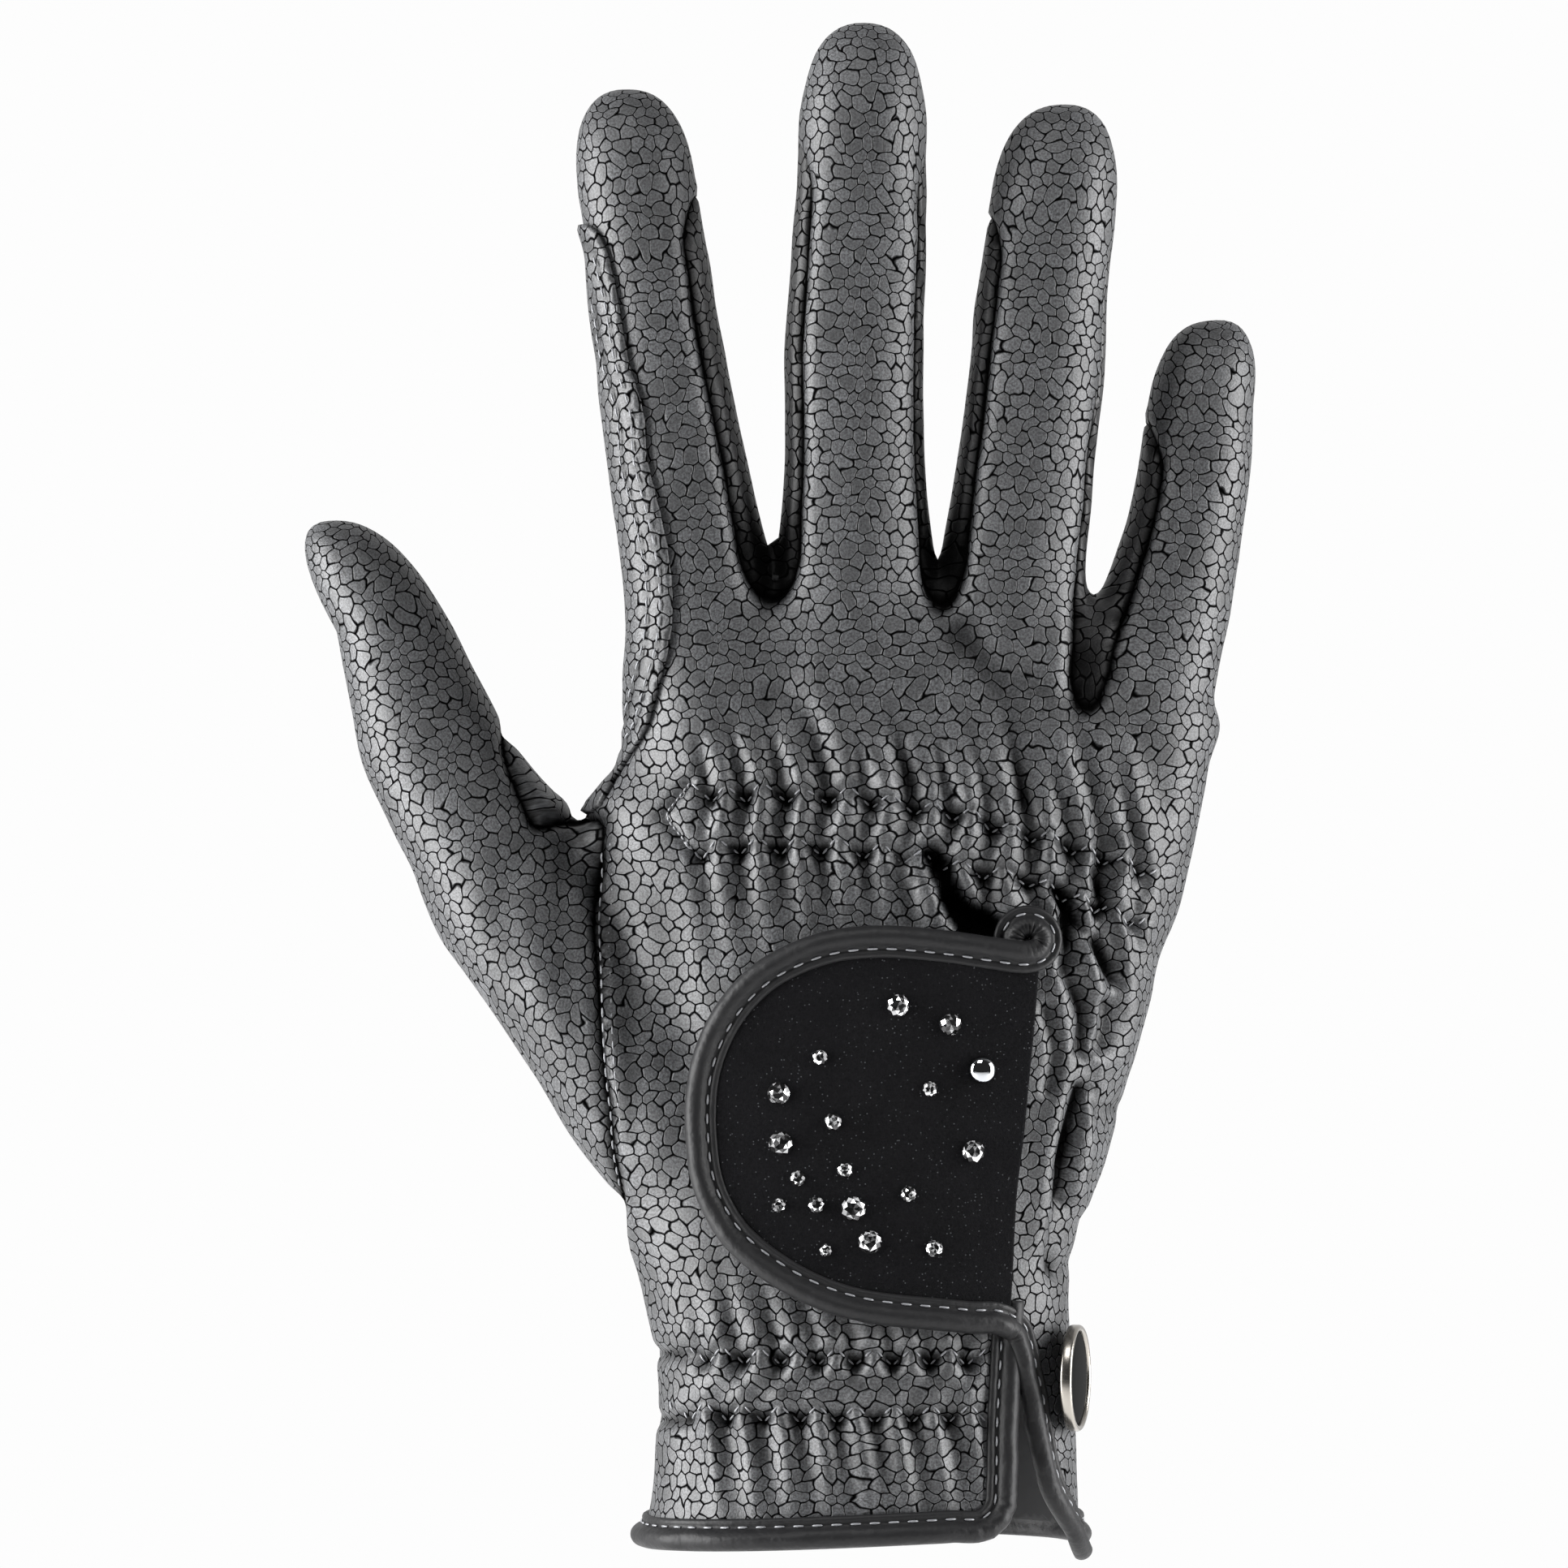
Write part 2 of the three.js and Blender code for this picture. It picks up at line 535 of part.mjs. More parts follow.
// A bound edge: a strip with rounded edges carried along a path on the surface of the hand.
// Each path point has its place, the outward normal there and the half width of the strip.
function boundEdge(path, thickness) {
  const profile = [[-1, -0.5], [1, -0.5], [1, 0.15], [0.55, 0.5], [-0.55, 0.5], [-1, 0.15]];
  const rings = path.map((point, i) => {
    const before = path[Math.max(i - 1, 0)].place;
    const after = path[Math.min(i + 1, path.length - 1)].place;
    const forward = after.clone().sub(before).normalize();
    const side = new THREE.Vector3().crossVectors(forward, point.normal).normalize();
    return profile.map(([across, up]) => point.place.clone()
      .addScaledVector(side, -across * point.half)
      .addScaledVector(point.normal, up * thickness));
  });
  return loft(rings);
}

// Even steps along a curve through chosen places in the front view, put on the back's surface
function pathOnBack(places, lift, steps, half = bindingWidth / 2) {
  const curve = new THREE.CatmullRomCurve3(places.map((p) => new THREE.Vector3(p.x, 0, p.z)), false, 'centripetal');
  return curve.getSpacedPoints(steps).map((p) => ({
    place: onBack(p.x, p.z, lift), normal: backNormal(p.x, p.z), half,
  }));
}

// The binding runs up the vent's far edge, round the tab, and curls up over the vent's top end
function tabBinding() {
  const inset = bindingWidth / 2;
  const turn = { x: tab.stemTop.x - 0.8, z: tabEdge(tab.stemTop.x, 1, inset) + curlRadius };
  const places = [
    ...ventFarBinding.map((row) => ({ x: hand.width * row.x, z: hand.length * row.at })),
    { x: tab.stemBottom.x - 0.8, z: tabEdge(tab.stemBottom.x, -1, inset) - 0.2 },
  ];
  for (let i = 1; i < 4; i++) {
    const x = THREE.MathUtils.lerp(tab.stemBottom.x, tab.middle.x, i / 3);
    places.push({ x, z: tabEdge(x, -1, inset) });
  }
  const quarter = 7;
  for (let i = 1 - quarter; i < quarter; i++) {
    const angle = Math.PI / 2 * i / quarter;
    const power = 2 / tab.roundness;
    places.push({
      x: tab.middle.x - (tab.reach - inset) * Math.cos(angle) ** power,
      z: tab.middle.z + (tab.halfHeight - inset) * Math.sign(angle) * Math.abs(Math.sin(angle)) ** power,
    });
  }
  for (let i = 0; i < 4; i++) {
    const x = THREE.MathUtils.lerp(tab.middle.x, tab.stemTop.x - 2, i / 3);
    places.push({ x, z: tabEdge(x, 1, inset) });
  }
  const turns = 6;
  for (let i = 0; i <= turns; i++) {
    const angle = -Math.PI / 2 + curlTurn * i / turns;
    places.push({ x: turn.x + curlRadius * Math.cos(angle), z: turn.z + curlRadius * Math.sin(angle) });
  }
  return places;
}

// The hem's binding goes round the cuff from the vent's near edge to its far edge
function hemPath() {
  const section = handSection(0);
  const nearX = hand.width * vent[1].left;
  const farX = hand.width * vent[1].right;
  const angleAt = (x) => {
    const c = (x - section.x) / section.halfWidth;
    return -Math.acos(THREE.MathUtils.clamp(Math.sign(c) * Math.abs(c) ** (hand.roundness / 2), -1, 1));
  };
  const start = angleAt(farX - bindingWidth * 0.2) + 0.06;
  const end = angleAt(nearX) + 2 * Math.PI;
  const steps = 38;
  return Array.from({ length: steps + 1 }, (_, i) => {
    const angle = start + (end - start) * i / steps;
    const place = superellipse({ ...section, z: hemHeight / 2 }, angle, hand.roundness);
    place.z += hemLift(place, 0);
    const ahead = superellipse({ ...section, z: place.z }, angle + 0.02, hand.roundness);
    const along = ahead.sub(place).normalize();
    const normal = new THREE.Vector3(along.y, -along.x, 0);
    return { place: place.addScaledVector(normal, -leather / 2), normal, half: hemHeight / 2 };
  });
}

// A cut stone: a flat table, a ring of crown facets and a flat glued base
function stoneGeometry(size) {
  const facets = 8;
  const radius = size / 2;
  const height = size * stoneHeightShare;
  const ring = (r, z, turn) => Array.from({ length: facets }, (_, k) => {
    const angle = 2 * Math.PI * (k + turn) / facets;
    return new THREE.Vector3(r * Math.cos(angle), r * Math.sin(angle), z);
  });
  return loft([ring(radius, 0, 0), ring(radius * tableShare, height, 0)]);
}

// The badge's cup and its enamel face, as turned profiles about their own axis
function badgeProfiles() {
  const radius = badge.diameter / 2;
  const floor = badge.thickness * 0.45;
  const soft = 0.4;
  const cup = [
    [0, 0], [radius - soft, 0], [radius, soft], [radius, badge.thickness - soft],
    [radius - soft, badge.thickness], [radius - badge.rim, badge.thickness - soft / 2],
    [radius - badge.rim, floor], [0, floor],
  ];
  const faceRadius = radius - badge.rim - sewingGap;
  const faceTop = badge.thickness - badge.recess;
  const face = [[0, floor + sewingGap], [faceRadius, floor + sewingGap], [faceRadius, faceTop - 0.25], [0, faceTop]];
  return { cup, face };
}

function turned(profile) {
  const geometry = new THREE.LatheGeometry(profile.map(([r, h]) => new THREE.Vector2(r, h)), 28);
  return geometry.rotateX(Math.PI / 2);
}

// Finishes, from the photograph
const finish = {
  scaleLeather: new THREE.MeshStandardMaterial({ color: 0x55565a, roughness: 0.55, metalness: 0 }),
  smoothLeather: new THREE.MeshStandardMaterial({ color: 0x2c2d2f, roughness: 0.5, metalness: 0 }),
  suede: new THREE.MeshStandardMaterial({ color: 0x17171a, roughness: 0.95, metalness: 0 }),
  crystal: new THREE.MeshStandardMaterial({ color: 0xb9bcc2, roughness: 0.05, metalness: 0.6 }),
  steel: new THREE.MeshStandardMaterial({ color: 0x9c958e, roughness: 0.25, metalness: 1 }),
  enamel: new THREE.MeshStandardMaterial({ color: 0x050506, roughness: 0.08, metalness: 0 }),
};

const glove = new THREE.Group();

function addPiece(name, geometry, material) {
  const mesh = new THREE.Mesh(geometry, material);
  mesh.name = name;
  glove.add(mesh);
  return mesh;
}

// Pattern pieces cut from the shell
const handPiece = fourchettes.reduce(
  (solid, piece) => solid.subtract(fourchetteRegion(piece, sewingGap)),
  shell.subtract(thumbRegion(sewingGap)),
);
addPiece('hand_piece', toGeometry(largest(handPiece)), finish.scaleLeather);
addPiece('thumb_piece', toGeometry(largest(shell.intersect(thumbRegion(0)))), finish.scaleLeather);
for (const piece of fourchettes) {
  addPiece(piece.name, toGeometry(largest(shell.intersect(fourchetteRegion(piece, 0)))), finish.scaleLeather);
}
addPiece('index_patch', toGeometry(patchPiece()), finish.scaleLeather);

// Closure tab and bound edges
addPiece('closure_tab', tabPanel(), finish.suede);
const tabRoute = pathOnBack(tabBinding(), tabLift + bindingThickness / 2, 66);
addPiece('tab_binding', boundEdge(tabRoute, bindingThickness), finish.smoothLeather);
addPiece('hem_binding', boundEdge(hemPath(), bindingThickness), finish.smoothLeather);
const ventStart = hemHeight + hemRise * hand.width * 0.80;
const ventEdge = vent.slice(1, 4).map((row) => ({
  x: hand.width * row.left - bindingWidth / 2, z: Math.max(hand.length * row.at, ventStart),
}));
const ventRoute = pathOnBack(ventEdge, -leather / 2, 14);
addPiece('vent_binding', boundEdge(ventRoute, bindingThickness), finish.smoothLeather);

// Stones, seated on the tab
stones.forEach(({ x, z, size }, i) => {
  const px = tab.middle.x + tab.reach * x;
  const pz = tab.middle.z + tab.halfHeight * z;
  const stone = addPiece(`stone_${String(i + 1).padStart(2, '0')}`, stoneGeometry(size), finish.crystal);
  const normal = backNormal(px, pz);
  stone.quaternion.setFromUnitVectors(new THREE.Vector3(0, 0, 1), normal);
  stone.position.copy(onBack(px, pz, tabLift + suede + sewingGap));
});

// Where the badge sits: beside the cuff's wall at its height and depth
function badgePlace() {
  const section = handSection(badge.height);
  const y = hand.depth * badge.deep;
  const deep = Math.abs(y - section.y) / section.halfDepth;
  const wall = section.x + section.halfWidth * (1 - deep ** hand.roundness) ** (1 / hand.roundness);
  return new THREE.Vector3(wall + badge.standOff, y, section.z);
}

// Badge, seated on the cuff's side with its face turned away from the back of the hand
const badgeSeat = new THREE.Group();
const faceTurn = THREE.MathUtils.degToRad(badge.faceAngle);
const badgeNormal = new THREE.Vector3(Math.sin(faceTurn), -Math.cos(faceTurn), 0);
badgeSeat.position.copy(badgePlace());
badgeSeat.quaternion.setFromUnitVectors(new THREE.Vector3(0, 0, 1), badgeNormal);
glove.add(badgeSeat);
const { cup, face } = badgeProfiles();
badgeSeat.add(addPiece('badge_cup', turned(cup), finish.steel));
badgeSeat.add(addPiece('badge_face', turned(face), finish.enamel));

export default glove;
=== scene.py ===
# %% [markdown]
# # A leather riding glove, dressed in Blender
#
# The CAD model gives this glove its size and its pattern pieces. This file builds the looks
# around it: leather that bulges between its seams, elastic rows that gather it, rolled binding,
# suede, thread and cut stones. Shapes are worked out in millimetres, because a glove maker
# thinks in millimetres, and turned to metres when a mesh is made.

# %% Frame
import math

import bpy
import numpy as np
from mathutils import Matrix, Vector


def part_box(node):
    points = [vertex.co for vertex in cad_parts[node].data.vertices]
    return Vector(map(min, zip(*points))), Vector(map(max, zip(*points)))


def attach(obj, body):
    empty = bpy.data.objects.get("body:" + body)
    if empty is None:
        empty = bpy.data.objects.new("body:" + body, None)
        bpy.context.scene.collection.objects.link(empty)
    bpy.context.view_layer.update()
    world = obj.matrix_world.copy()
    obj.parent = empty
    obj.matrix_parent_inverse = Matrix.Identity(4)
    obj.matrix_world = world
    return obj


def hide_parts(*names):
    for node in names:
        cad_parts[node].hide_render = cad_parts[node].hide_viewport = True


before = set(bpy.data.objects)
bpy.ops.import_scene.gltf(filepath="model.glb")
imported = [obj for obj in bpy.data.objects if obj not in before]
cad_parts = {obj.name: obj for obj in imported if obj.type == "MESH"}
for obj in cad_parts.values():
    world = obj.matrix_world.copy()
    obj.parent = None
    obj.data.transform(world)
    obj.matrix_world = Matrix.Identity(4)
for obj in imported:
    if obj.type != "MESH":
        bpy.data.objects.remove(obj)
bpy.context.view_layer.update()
MM = 0.001
rng = np.random.default_rng(7)
print("CAD nodes:", len(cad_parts))

# %% [markdown]
# ## Camera
#
# The photograph looks straight at the back of the hand, along +Y. A long lens from well over a
# metre away keeps the fingers nearly parallel, as a product photographer would.

# %% Camera
PIXEL = 0.125
PHOTO_WIDTH = 1932
PHOTO_ZERO_X = 1060
PHOTO_ZERO_Y = 1906
CAMERA_DISTANCE = 1340.0
SENSOR = 36.0

camera_data = bpy.data.cameras.new("camera")
camera_data.sensor_width = SENSOR
camera_data.lens = SENSOR * CAMERA_DISTANCE / (PHOTO_WIDTH * PIXEL)
camera_data.clip_end = 20
camera = bpy.data.objects.new("camera", camera_data)
bpy.context.scene.collection.objects.link(camera)
camera.location = (
    (PHOTO_WIDTH / 2 - PHOTO_ZERO_X) * PIXEL * MM,
    -CAMERA_DISTANCE * MM,
    (PHOTO_ZERO_Y - PHOTO_WIDTH / 2) * PIXEL * MM,
)
camera.rotation_euler = (math.radians(90), 0, 0)
bpy.context.scene.camera = camera
print("camera lens", round(camera_data.lens, 1), "mm")

# %% [markdown]
# ## Light and floor
#
# Two tall softboxes stand left and right of the glove, so black leather shows its form by a
# lighter edge on each side. A weak overhead light fills the front.

# %% Light
def linear(hex_colour):
    """An sRGB hex colour such as '4a4b4d' as a linear RGBA tuple."""
    channels = [int(hex_colour[i : i + 2], 16) / 255 for i in (0, 2, 4)]
    return tuple(
        c / 12.92 if c <= 0.04045 else ((c + 0.055) / 1.055) ** 2.4 for c in channels
    ) + (1.0,)


def softbox(name, place, target, size, power):
    """A rectangular area light at place, facing target, in metres and watts."""
    light = bpy.data.lights.new(name, "AREA")
    light.shape = "RECTANGLE"
    light.size, light.size_y = size
    light.energy = power
    lamp = bpy.data.objects.new(name, light)
    lamp.location = place
    lamp.rotation_euler = (Vector(target) - Vector(place)).to_track_quat("-Z", "Y").to_euler()
    bpy.context.scene.collection.objects.link(lamp)


GLOVE_MIDDLE = (0.0, 0.0, 0.12)
softbox("left_softbox", (-0.85, -0.16, 0.2), GLOVE_MIDDLE, (0.45, 0.9), 38)
softbox("right_softbox", (0.85, -0.16, 0.2), GLOVE_MIDDLE, (0.45, 0.9), 29)
softbox("top_softbox", (-0.15, -0.5, 0.95), GLOVE_MIDDLE, (0.5, 0.4), 6)
print("lights:", [lamp.name for lamp in bpy.data.lights])

# %% [markdown]
# ## How materials are built
#
# One small function adds a shader node, sets its values and links its inputs. A few shorter ones
# name what the nodes do. Every finish below is made with them, on the shader that Blender calls
# Principled.

# %% Node helpers
# A Mix node's sockets for colours, by number, because its sockets for numbers bear the same names
MIX_A, MIX_B, MIX_RESULT = 6, 7, 2


def add(tree, kind, inputs=None, **settings):
    """Adds a shader node of this kind. inputs maps an input's name or number to the socket that
    feeds it or to a fixed value. settings are properties or input values by name."""
    node = tree.nodes.new("ShaderNode" + kind)
    for key, value in settings.items():
        if hasattr(node, key):
            setattr(node, key, value)
        else:
            node.inputs[key.replace("_", " ")].default_value = value
    for key, value in (inputs or {}).items():
        if isinstance(value, bpy.types.NodeSocket):
            tree.links.new(node.inputs[key], value)
        else:
            node.inputs[key].default_value = value
    return node


def feed(tree, node, **sources):
    """Links sockets to a node's inputs, whose names have underscores for spaces."""
    for key, source in sources.items():
        tree.links.new(node.inputs[key.replace("_", " ")], source)


def number(tree, operation, *values):
    """The result of arithmetic on numbers."""
    return add(tree, "Math", dict(enumerate(values)), operation=operation).outputs[0]


def vector(tree, operation, *values):
    """The result of arithmetic on vectors, which is a number for a length or a dot product."""
    node = add(tree, "VectorMath", dict(enumerate(values)), operation=operation)
    return node.outputs["Value" if operation in ("LENGTH", "DOT_PRODUCT") else "Vector"]


def ranged(tree, value, start, end, low=0.0, high=1.0, smooth=False):
    """A value's place between start and end, as a number between low and high."""
    inputs = {"Value": value, "From Min": start, "From Max": end, "To Min": low, "To Max": high}
    kind = "SMOOTHSTEP" if smooth else "LINEAR"
    return add(tree, "MapRange", inputs, interpolation_type=kind).outputs[0]


def mixed(tree, share, first, second):
    """Two colours mixed by a share."""
    node = add(tree, "Mix", {0: share, MIX_A: first, MIX_B: second}, data_type="RGBA")
    return node.outputs[MIX_RESULT]


def lumps(tree, place, size, detail, **settings):
    """A noise texture with lumps of this size, in the same units as the place."""
    return add(tree, "TexNoise", {"Vector": place}, Scale=1 / size, Detail=detail, **settings)


def raised(tree, height, depth, under=None):
    """A normal bent by a height from 0 to 1 over this depth in metres, on top of another's."""
    inputs = {"Height": height, "Normal": under} if under else {"Height": height}
    return add(tree, "Bump", inputs, Distance=depth).outputs["Normal"]


def new_material(name, colour, **settings):
    """A Principled material with its values set on the shader's own sockets."""
    material = bpy.data.materials.new(name)
    material.use_nodes = True
    shader = material.node_tree.nodes["Principled BSDF"]
    shader.inputs["Base Color"].default_value = linear(colour)
    for key, value in settings.items():
        shader.inputs[key.replace("_", " ")].default_value = value
    return material, material.node_tree, shader


print("node helpers ready")

# %% [markdown]
# ## Room and floor
#
# The room is white behind the glove and on both sides, and dim behind the camera, as a studio
# is. Faces that look at the camera then stay dark, and the form's turning edges go pale.

# %% Room and floor
# From where to where along Y the room turns from dim to white, and how bright its dim side is
ROOM_TURN = (-0.45, 0.7)
ROOM_DIM = 0.05
world = bpy.data.worlds.new("studio_room")
world.use_nodes = True
room = world.node_tree
direction = add(room, "TexCoord").outputs["Generated"]
ahead = add(room, "SeparateXYZ", {"Vector": direction}).outputs["Y"]
strength = ranged(room, ahead, *ROOM_TURN, low=ROOM_DIM, smooth=True)
feed(room, room.nodes["Background"], Strength=strength)
room.nodes["Background"].inputs["Color"].default_value = linear("fdfdfd")
bpy.context.scene.world = world
bpy.context.scene.view_settings.view_transform = "Standard"

FLOOR_HALF = 1.2
FLOOR_DROP = -0.25
floor_mesh = bpy.data.meshes.new("floor")
floor_corners = [(-1, -1), (1, -1), (1, 1), (-1, 1)]
floor_mesh.from_pydata(
    [(FLOOR_HALF * x, FLOOR_HALF * y, FLOOR_DROP) for x, y in floor_corners], [], [(0, 1, 2, 3)]
)
floor = bpy.data.objects.new("floor", floor_mesh)
floor.data.materials.append(new_material("matt_paper", "f4f4f4", Roughness=0.9)[0])
bpy.context.scene.collection.objects.link(floor)
print("floor at", FLOOR_DROP, "m")

# %% [markdown]
# ## The glove's form as sections
#
# A filled glove is six tubes: the hand and five digits. Each is a short table of sections. A
# section's sides are shares of the tube's width and depth, so one driving size moves them all.

# %% Section tables
# A row is the share of the length, then the left, right, back and palm side
TUBES = {
    "hand": {
        "root": (0, 0, 0), "length": 148, "width": 92, "depth": 40, "lean": 0, "curl": 0,
        "power": 2.4, "tip": 16, "start": -0.08,
        "rows": [
            (0.00, -0.365, 0.362, -0.550, 0.550),
            (0.05, -0.350, 0.365, -0.540, 0.540),
            (0.13, -0.338, 0.360, -0.510, 0.510),
            (0.19, -0.337, 0.352, -0.500, 0.500),
            (0.26, -0.362, 0.348, -0.500, 0.510),
            (0.33, -0.386, 0.364, -0.490, 0.530),
            (0.39, -0.397, 0.405, -0.480, 0.550),
            (0.49, -0.405, 0.452, -0.470, 0.590),
            (0.60, -0.415, 0.494, -0.460, 0.600),
            (0.70, -0.452, 0.531, -0.420, 0.560),
            (0.76, -0.462, 0.556, -0.400, 0.490),
            (0.81, -0.402, 0.571, -0.370, 0.420),
            (0.87, -0.385, 0.582, -0.325, 0.355),
            (0.92, -0.374, 0.420, -0.280, 0.300),
            (0.97, -0.345, 0.320, -0.230, 0.240),
        ],
    },
    "thumb": {
        "root": (-22, 4, 50), "length": 108.5, "width": 22, "depth": 20, "lean": -59.5, "curl": 9,
        "power": 2.1, "tip": 17, "start": 0.0,
        "rows": [
            (0.00, -0.50, 0.55, -0.82, 0.80),
            (0.09, -0.66, 0.70, -0.90, 0.86),
            (0.22, -0.72, 0.77, -0.92, 0.90),
            (0.31, -0.78, 0.66, -0.89, 0.88),
            (0.40, -0.85, 0.60, -0.82, 0.82),
            (0.50, -0.79, 0.62, -0.72, 0.73),
            (0.59, -0.77, 0.53, -0.63, 0.64),
            (0.65, -0.74, 0.42, -0.57, 0.58),
            (0.73, -0.60, 0.40, -0.52, 0.53),
            (0.84, -0.42, 0.41, -0.48, 0.49),
        ],
    },
    "index": {
        "root": (-24, -1.5, 120), "length": 105.2, "width": 22, "depth": 20, "lean": -11,
        "curl": 11, "power": 2.15, "tip": 17, "start": -0.12,
        "rows": [
            (0.00, -0.370, 0.58, -0.50, 0.50),
            (0.27, -0.390, 0.59, -0.52, 0.50),
            (0.46, -0.406, 0.52, -0.51, 0.50),
            (0.60, -0.437, 0.44, -0.48, 0.47),
            (0.76, -0.440, 0.40, -0.46, 0.45),
            (0.84, -0.475, 0.38, -0.45, 0.44),
        ],
    },
    "middle": {
        "root": (-1.2, -2, 120), "length": 115.2, "width": 22, "depth": 20.5, "lean": 1.5,
        "curl": 10, "power": 2.15, "tip": 20, "start": -0.12,
        "rows": [
            (0.00, -0.522, 0.520, -0.50, 0.50),
            (0.26, -0.522, 0.520, -0.52, 0.50),
            (0.42, -0.502, 0.480, -0.50, 0.49),
            (0.60, -0.502, 0.460, -0.49, 0.48),
            (0.73, -0.462, 0.470, -0.47, 0.46),
            (0.82, -0.432, 0.470, -0.45, 0.44),
        ],
    },
    "ring": {
        "root": (21, -1, 118), "length": 105, "width": 22, "depth": 20, "lean": 9.7, "curl": 11,
        "power": 2.15, "tip": 18, "start": -0.12,
        "rows": [
            (0.00, -0.495, 0.485, -0.50, 0.50),
            (0.29, -0.495, 0.475, -0.52, 0.50),
            (0.43, -0.495, 0.485, -0.50, 0.49),
            (0.58, -0.465, 0.485, -0.49, 0.48),
            (0.72, -0.445, 0.475, -0.47, 0.46),
            (0.83, -0.415, 0.475, -0.45, 0.44),
        ],
    },
    "little": {
        "root": (41, 1.5, 105), "length": 84.7, "width": 20, "depth": 18, "lean": 12.8, "curl": 9,
        "power": 2.15, "tip": 13.7, "start": -0.15,
        "rows": [
            (0.00, -0.475, 0.445, -0.52, 0.52),
            (0.30, -0.555, 0.485, -0.54, 0.52),
            (0.40, -0.555, 0.505, -0.53, 0.51),
            (0.51, -0.475, 0.525, -0.51, 0.49),
            (0.63, -0.385, 0.515, -0.48, 0.47),
            (0.75, -0.355, 0.495, -0.46, 0.45),
            (0.84, -0.355, 0.465, -0.45, 0.44),
        ],
    },
}
# Heights of a tube's lowest section, its top, and where its tip starts to round
for tube in TUBES.values():
    tube["bottom"] = tube["root"][2] + tube["length"] * tube["start"]
    tube["top"] = tube["root"][2] + tube["length"]
    tube["shoulder"] = tube["top"] - tube["tip"]
TIP_POWER = 2.5
# Over this height, in millimetres, a finger's tube closes at its root inside the hand
ROOT_CAP = 10.0
print("sections", {name: len(tube["rows"]) for name, tube in TUBES.items()})

# %% [markdown]
# A table gives only a few sections. Between them a cubic curve through neighbouring rows fills
# in, so that the leather has no corners. One function returns the tube's middle and half sizes at
# any height, and another says how far a point is from the tube's skin.

# %% Section maths
def smooth_rows(rows, at):
    """Cubic Hermite interpolation of the table's columns at shares `at`, with each row's slope
    taken from its two neighbours."""
    table = np.array(rows, float)
    keys = table[:, 0]
    values = table[:, 1:]
    slopes = np.gradient(values, keys, axis=0)
    at = np.clip(at, keys[0], keys[-1])
    i = np.clip(np.searchsorted(keys, at, "right") - 1, 0, len(keys) - 2)
    step = keys[i + 1] - keys[i]
    t = ((at - keys[i]) / step)[..., None]
    step = step[..., None]
    return (
        values[i] * (2 * t**3 - 3 * t**2 + 1)
        + slopes[i] * step * (t**3 - 2 * t**2 + t)
        + values[i + 1] * (3 * t**2 - 2 * t**3)
        + slopes[i + 1] * step * (t**3 - t**2)
    )


def section(tube, z):
    """Middle x and y, half width and half depth of a tube at heights z, in millimetres."""
    at = (z - tube["root"][2]) / tube["length"]
    body_end = 1 - tube["tip"] / tube["length"]
    sides = smooth_rows(tube["rows"], np.minimum(at, body_end))
    left, right, back, palm = np.moveaxis(sides, -1, 0)
    x = tube["root"][0] + tube["lean"] * at + tube["width"] * (left + right) / 2
    bent = np.clip(at, 0, 1)
    y = tube["root"][1] + tube["curl"] * bent**2 + tube["depth"] * (back + palm) / 2
    return x, y, tube["width"] * (right - left) / 2, tube["depth"] * (palm - back) / 2


def tube_distance(tube, points):
    """Roughly how far points are outside a tube's skin. The tube is a superellipse across and
    closes over its end, and a finger over its root, with the same kind of curve along its
    height."""
    x, y, half_width, half_depth = section(tube, points[:, 2])
    power = tube["power"]
    across = np.maximum(np.abs(points[:, 0] - x) / half_width, 1e-4)
    deep = np.maximum(np.abs(points[:, 1] - y) / half_depth, 1e-4)
    up = np.maximum((points[:, 2] - tube["shoulder"]) / tube["tip"], 0)
    down = np.maximum((tube["bottom"] + ROOT_CAP - points[:, 2]) / ROOT_CAP, 0)
    down = down * (tube["start"] < 0)
    close = np.where(down > 0, ROOT_CAP, tube["tip"])
    up = np.maximum(up, down)
    flat = (across**power + deep**power) ** (1 / power)
    radius = (flat**TIP_POWER + up**TIP_POWER) ** (1 / TIP_POWER)
    flat_slope = flat ** (1 - power) * np.hypot(
        across ** (power - 1) / half_width, deep ** (power - 1) / half_depth
    )
    slope = radius ** (1 - TIP_POWER) * np.hypot(
        flat ** (TIP_POWER - 1) * flat_slope, up ** (TIP_POWER - 1) / close
    )
    return (radius - 1) / np.maximum(slope, 1e-3)


# How far the fillets between the tubes reach, in millimetres
BLEND = 1.7


def glove_distance(points):
    """The six distances joined with a soft minimum, which fillets the webs between fingers."""
    each = np.stack([tube_distance(tube, points) for tube in TUBES.values()])
    lowest = each.min(axis=0)
    return lowest - BLEND * np.log(np.exp(-(each - lowest) / BLEND).sum(axis=0))


def gradient(points, step=0.25):
    """The distance's slope at points, from differences of a quarter of a millimetre."""
    return np.stack(
        [
            (glove_distance(points + move) - glove_distance(points - move)) / (2 * step)
            for move in np.eye(3) * step
        ],
        axis=1,
    )


def unit(vectors):
    """Vectors scaled to length one."""
    return vectors / np.maximum(np.linalg.norm(vectors, axis=-1, keepdims=True), 1e-9)


def settle(points, rounds=3):
    """Moves points along the slope until they lie on the glove's skin."""
    for _ in range(rounds):
        slope = gradient(points)
        shift = glove_distance(points) / np.maximum((slope**2).sum(axis=1), 0.05)
        points = points - np.clip(shift, -3, 3)[:, None] * slope
    return points


# Rays towards the back of the hand start here, in millimetres along Y, outside the glove
RAY_START = -45.0


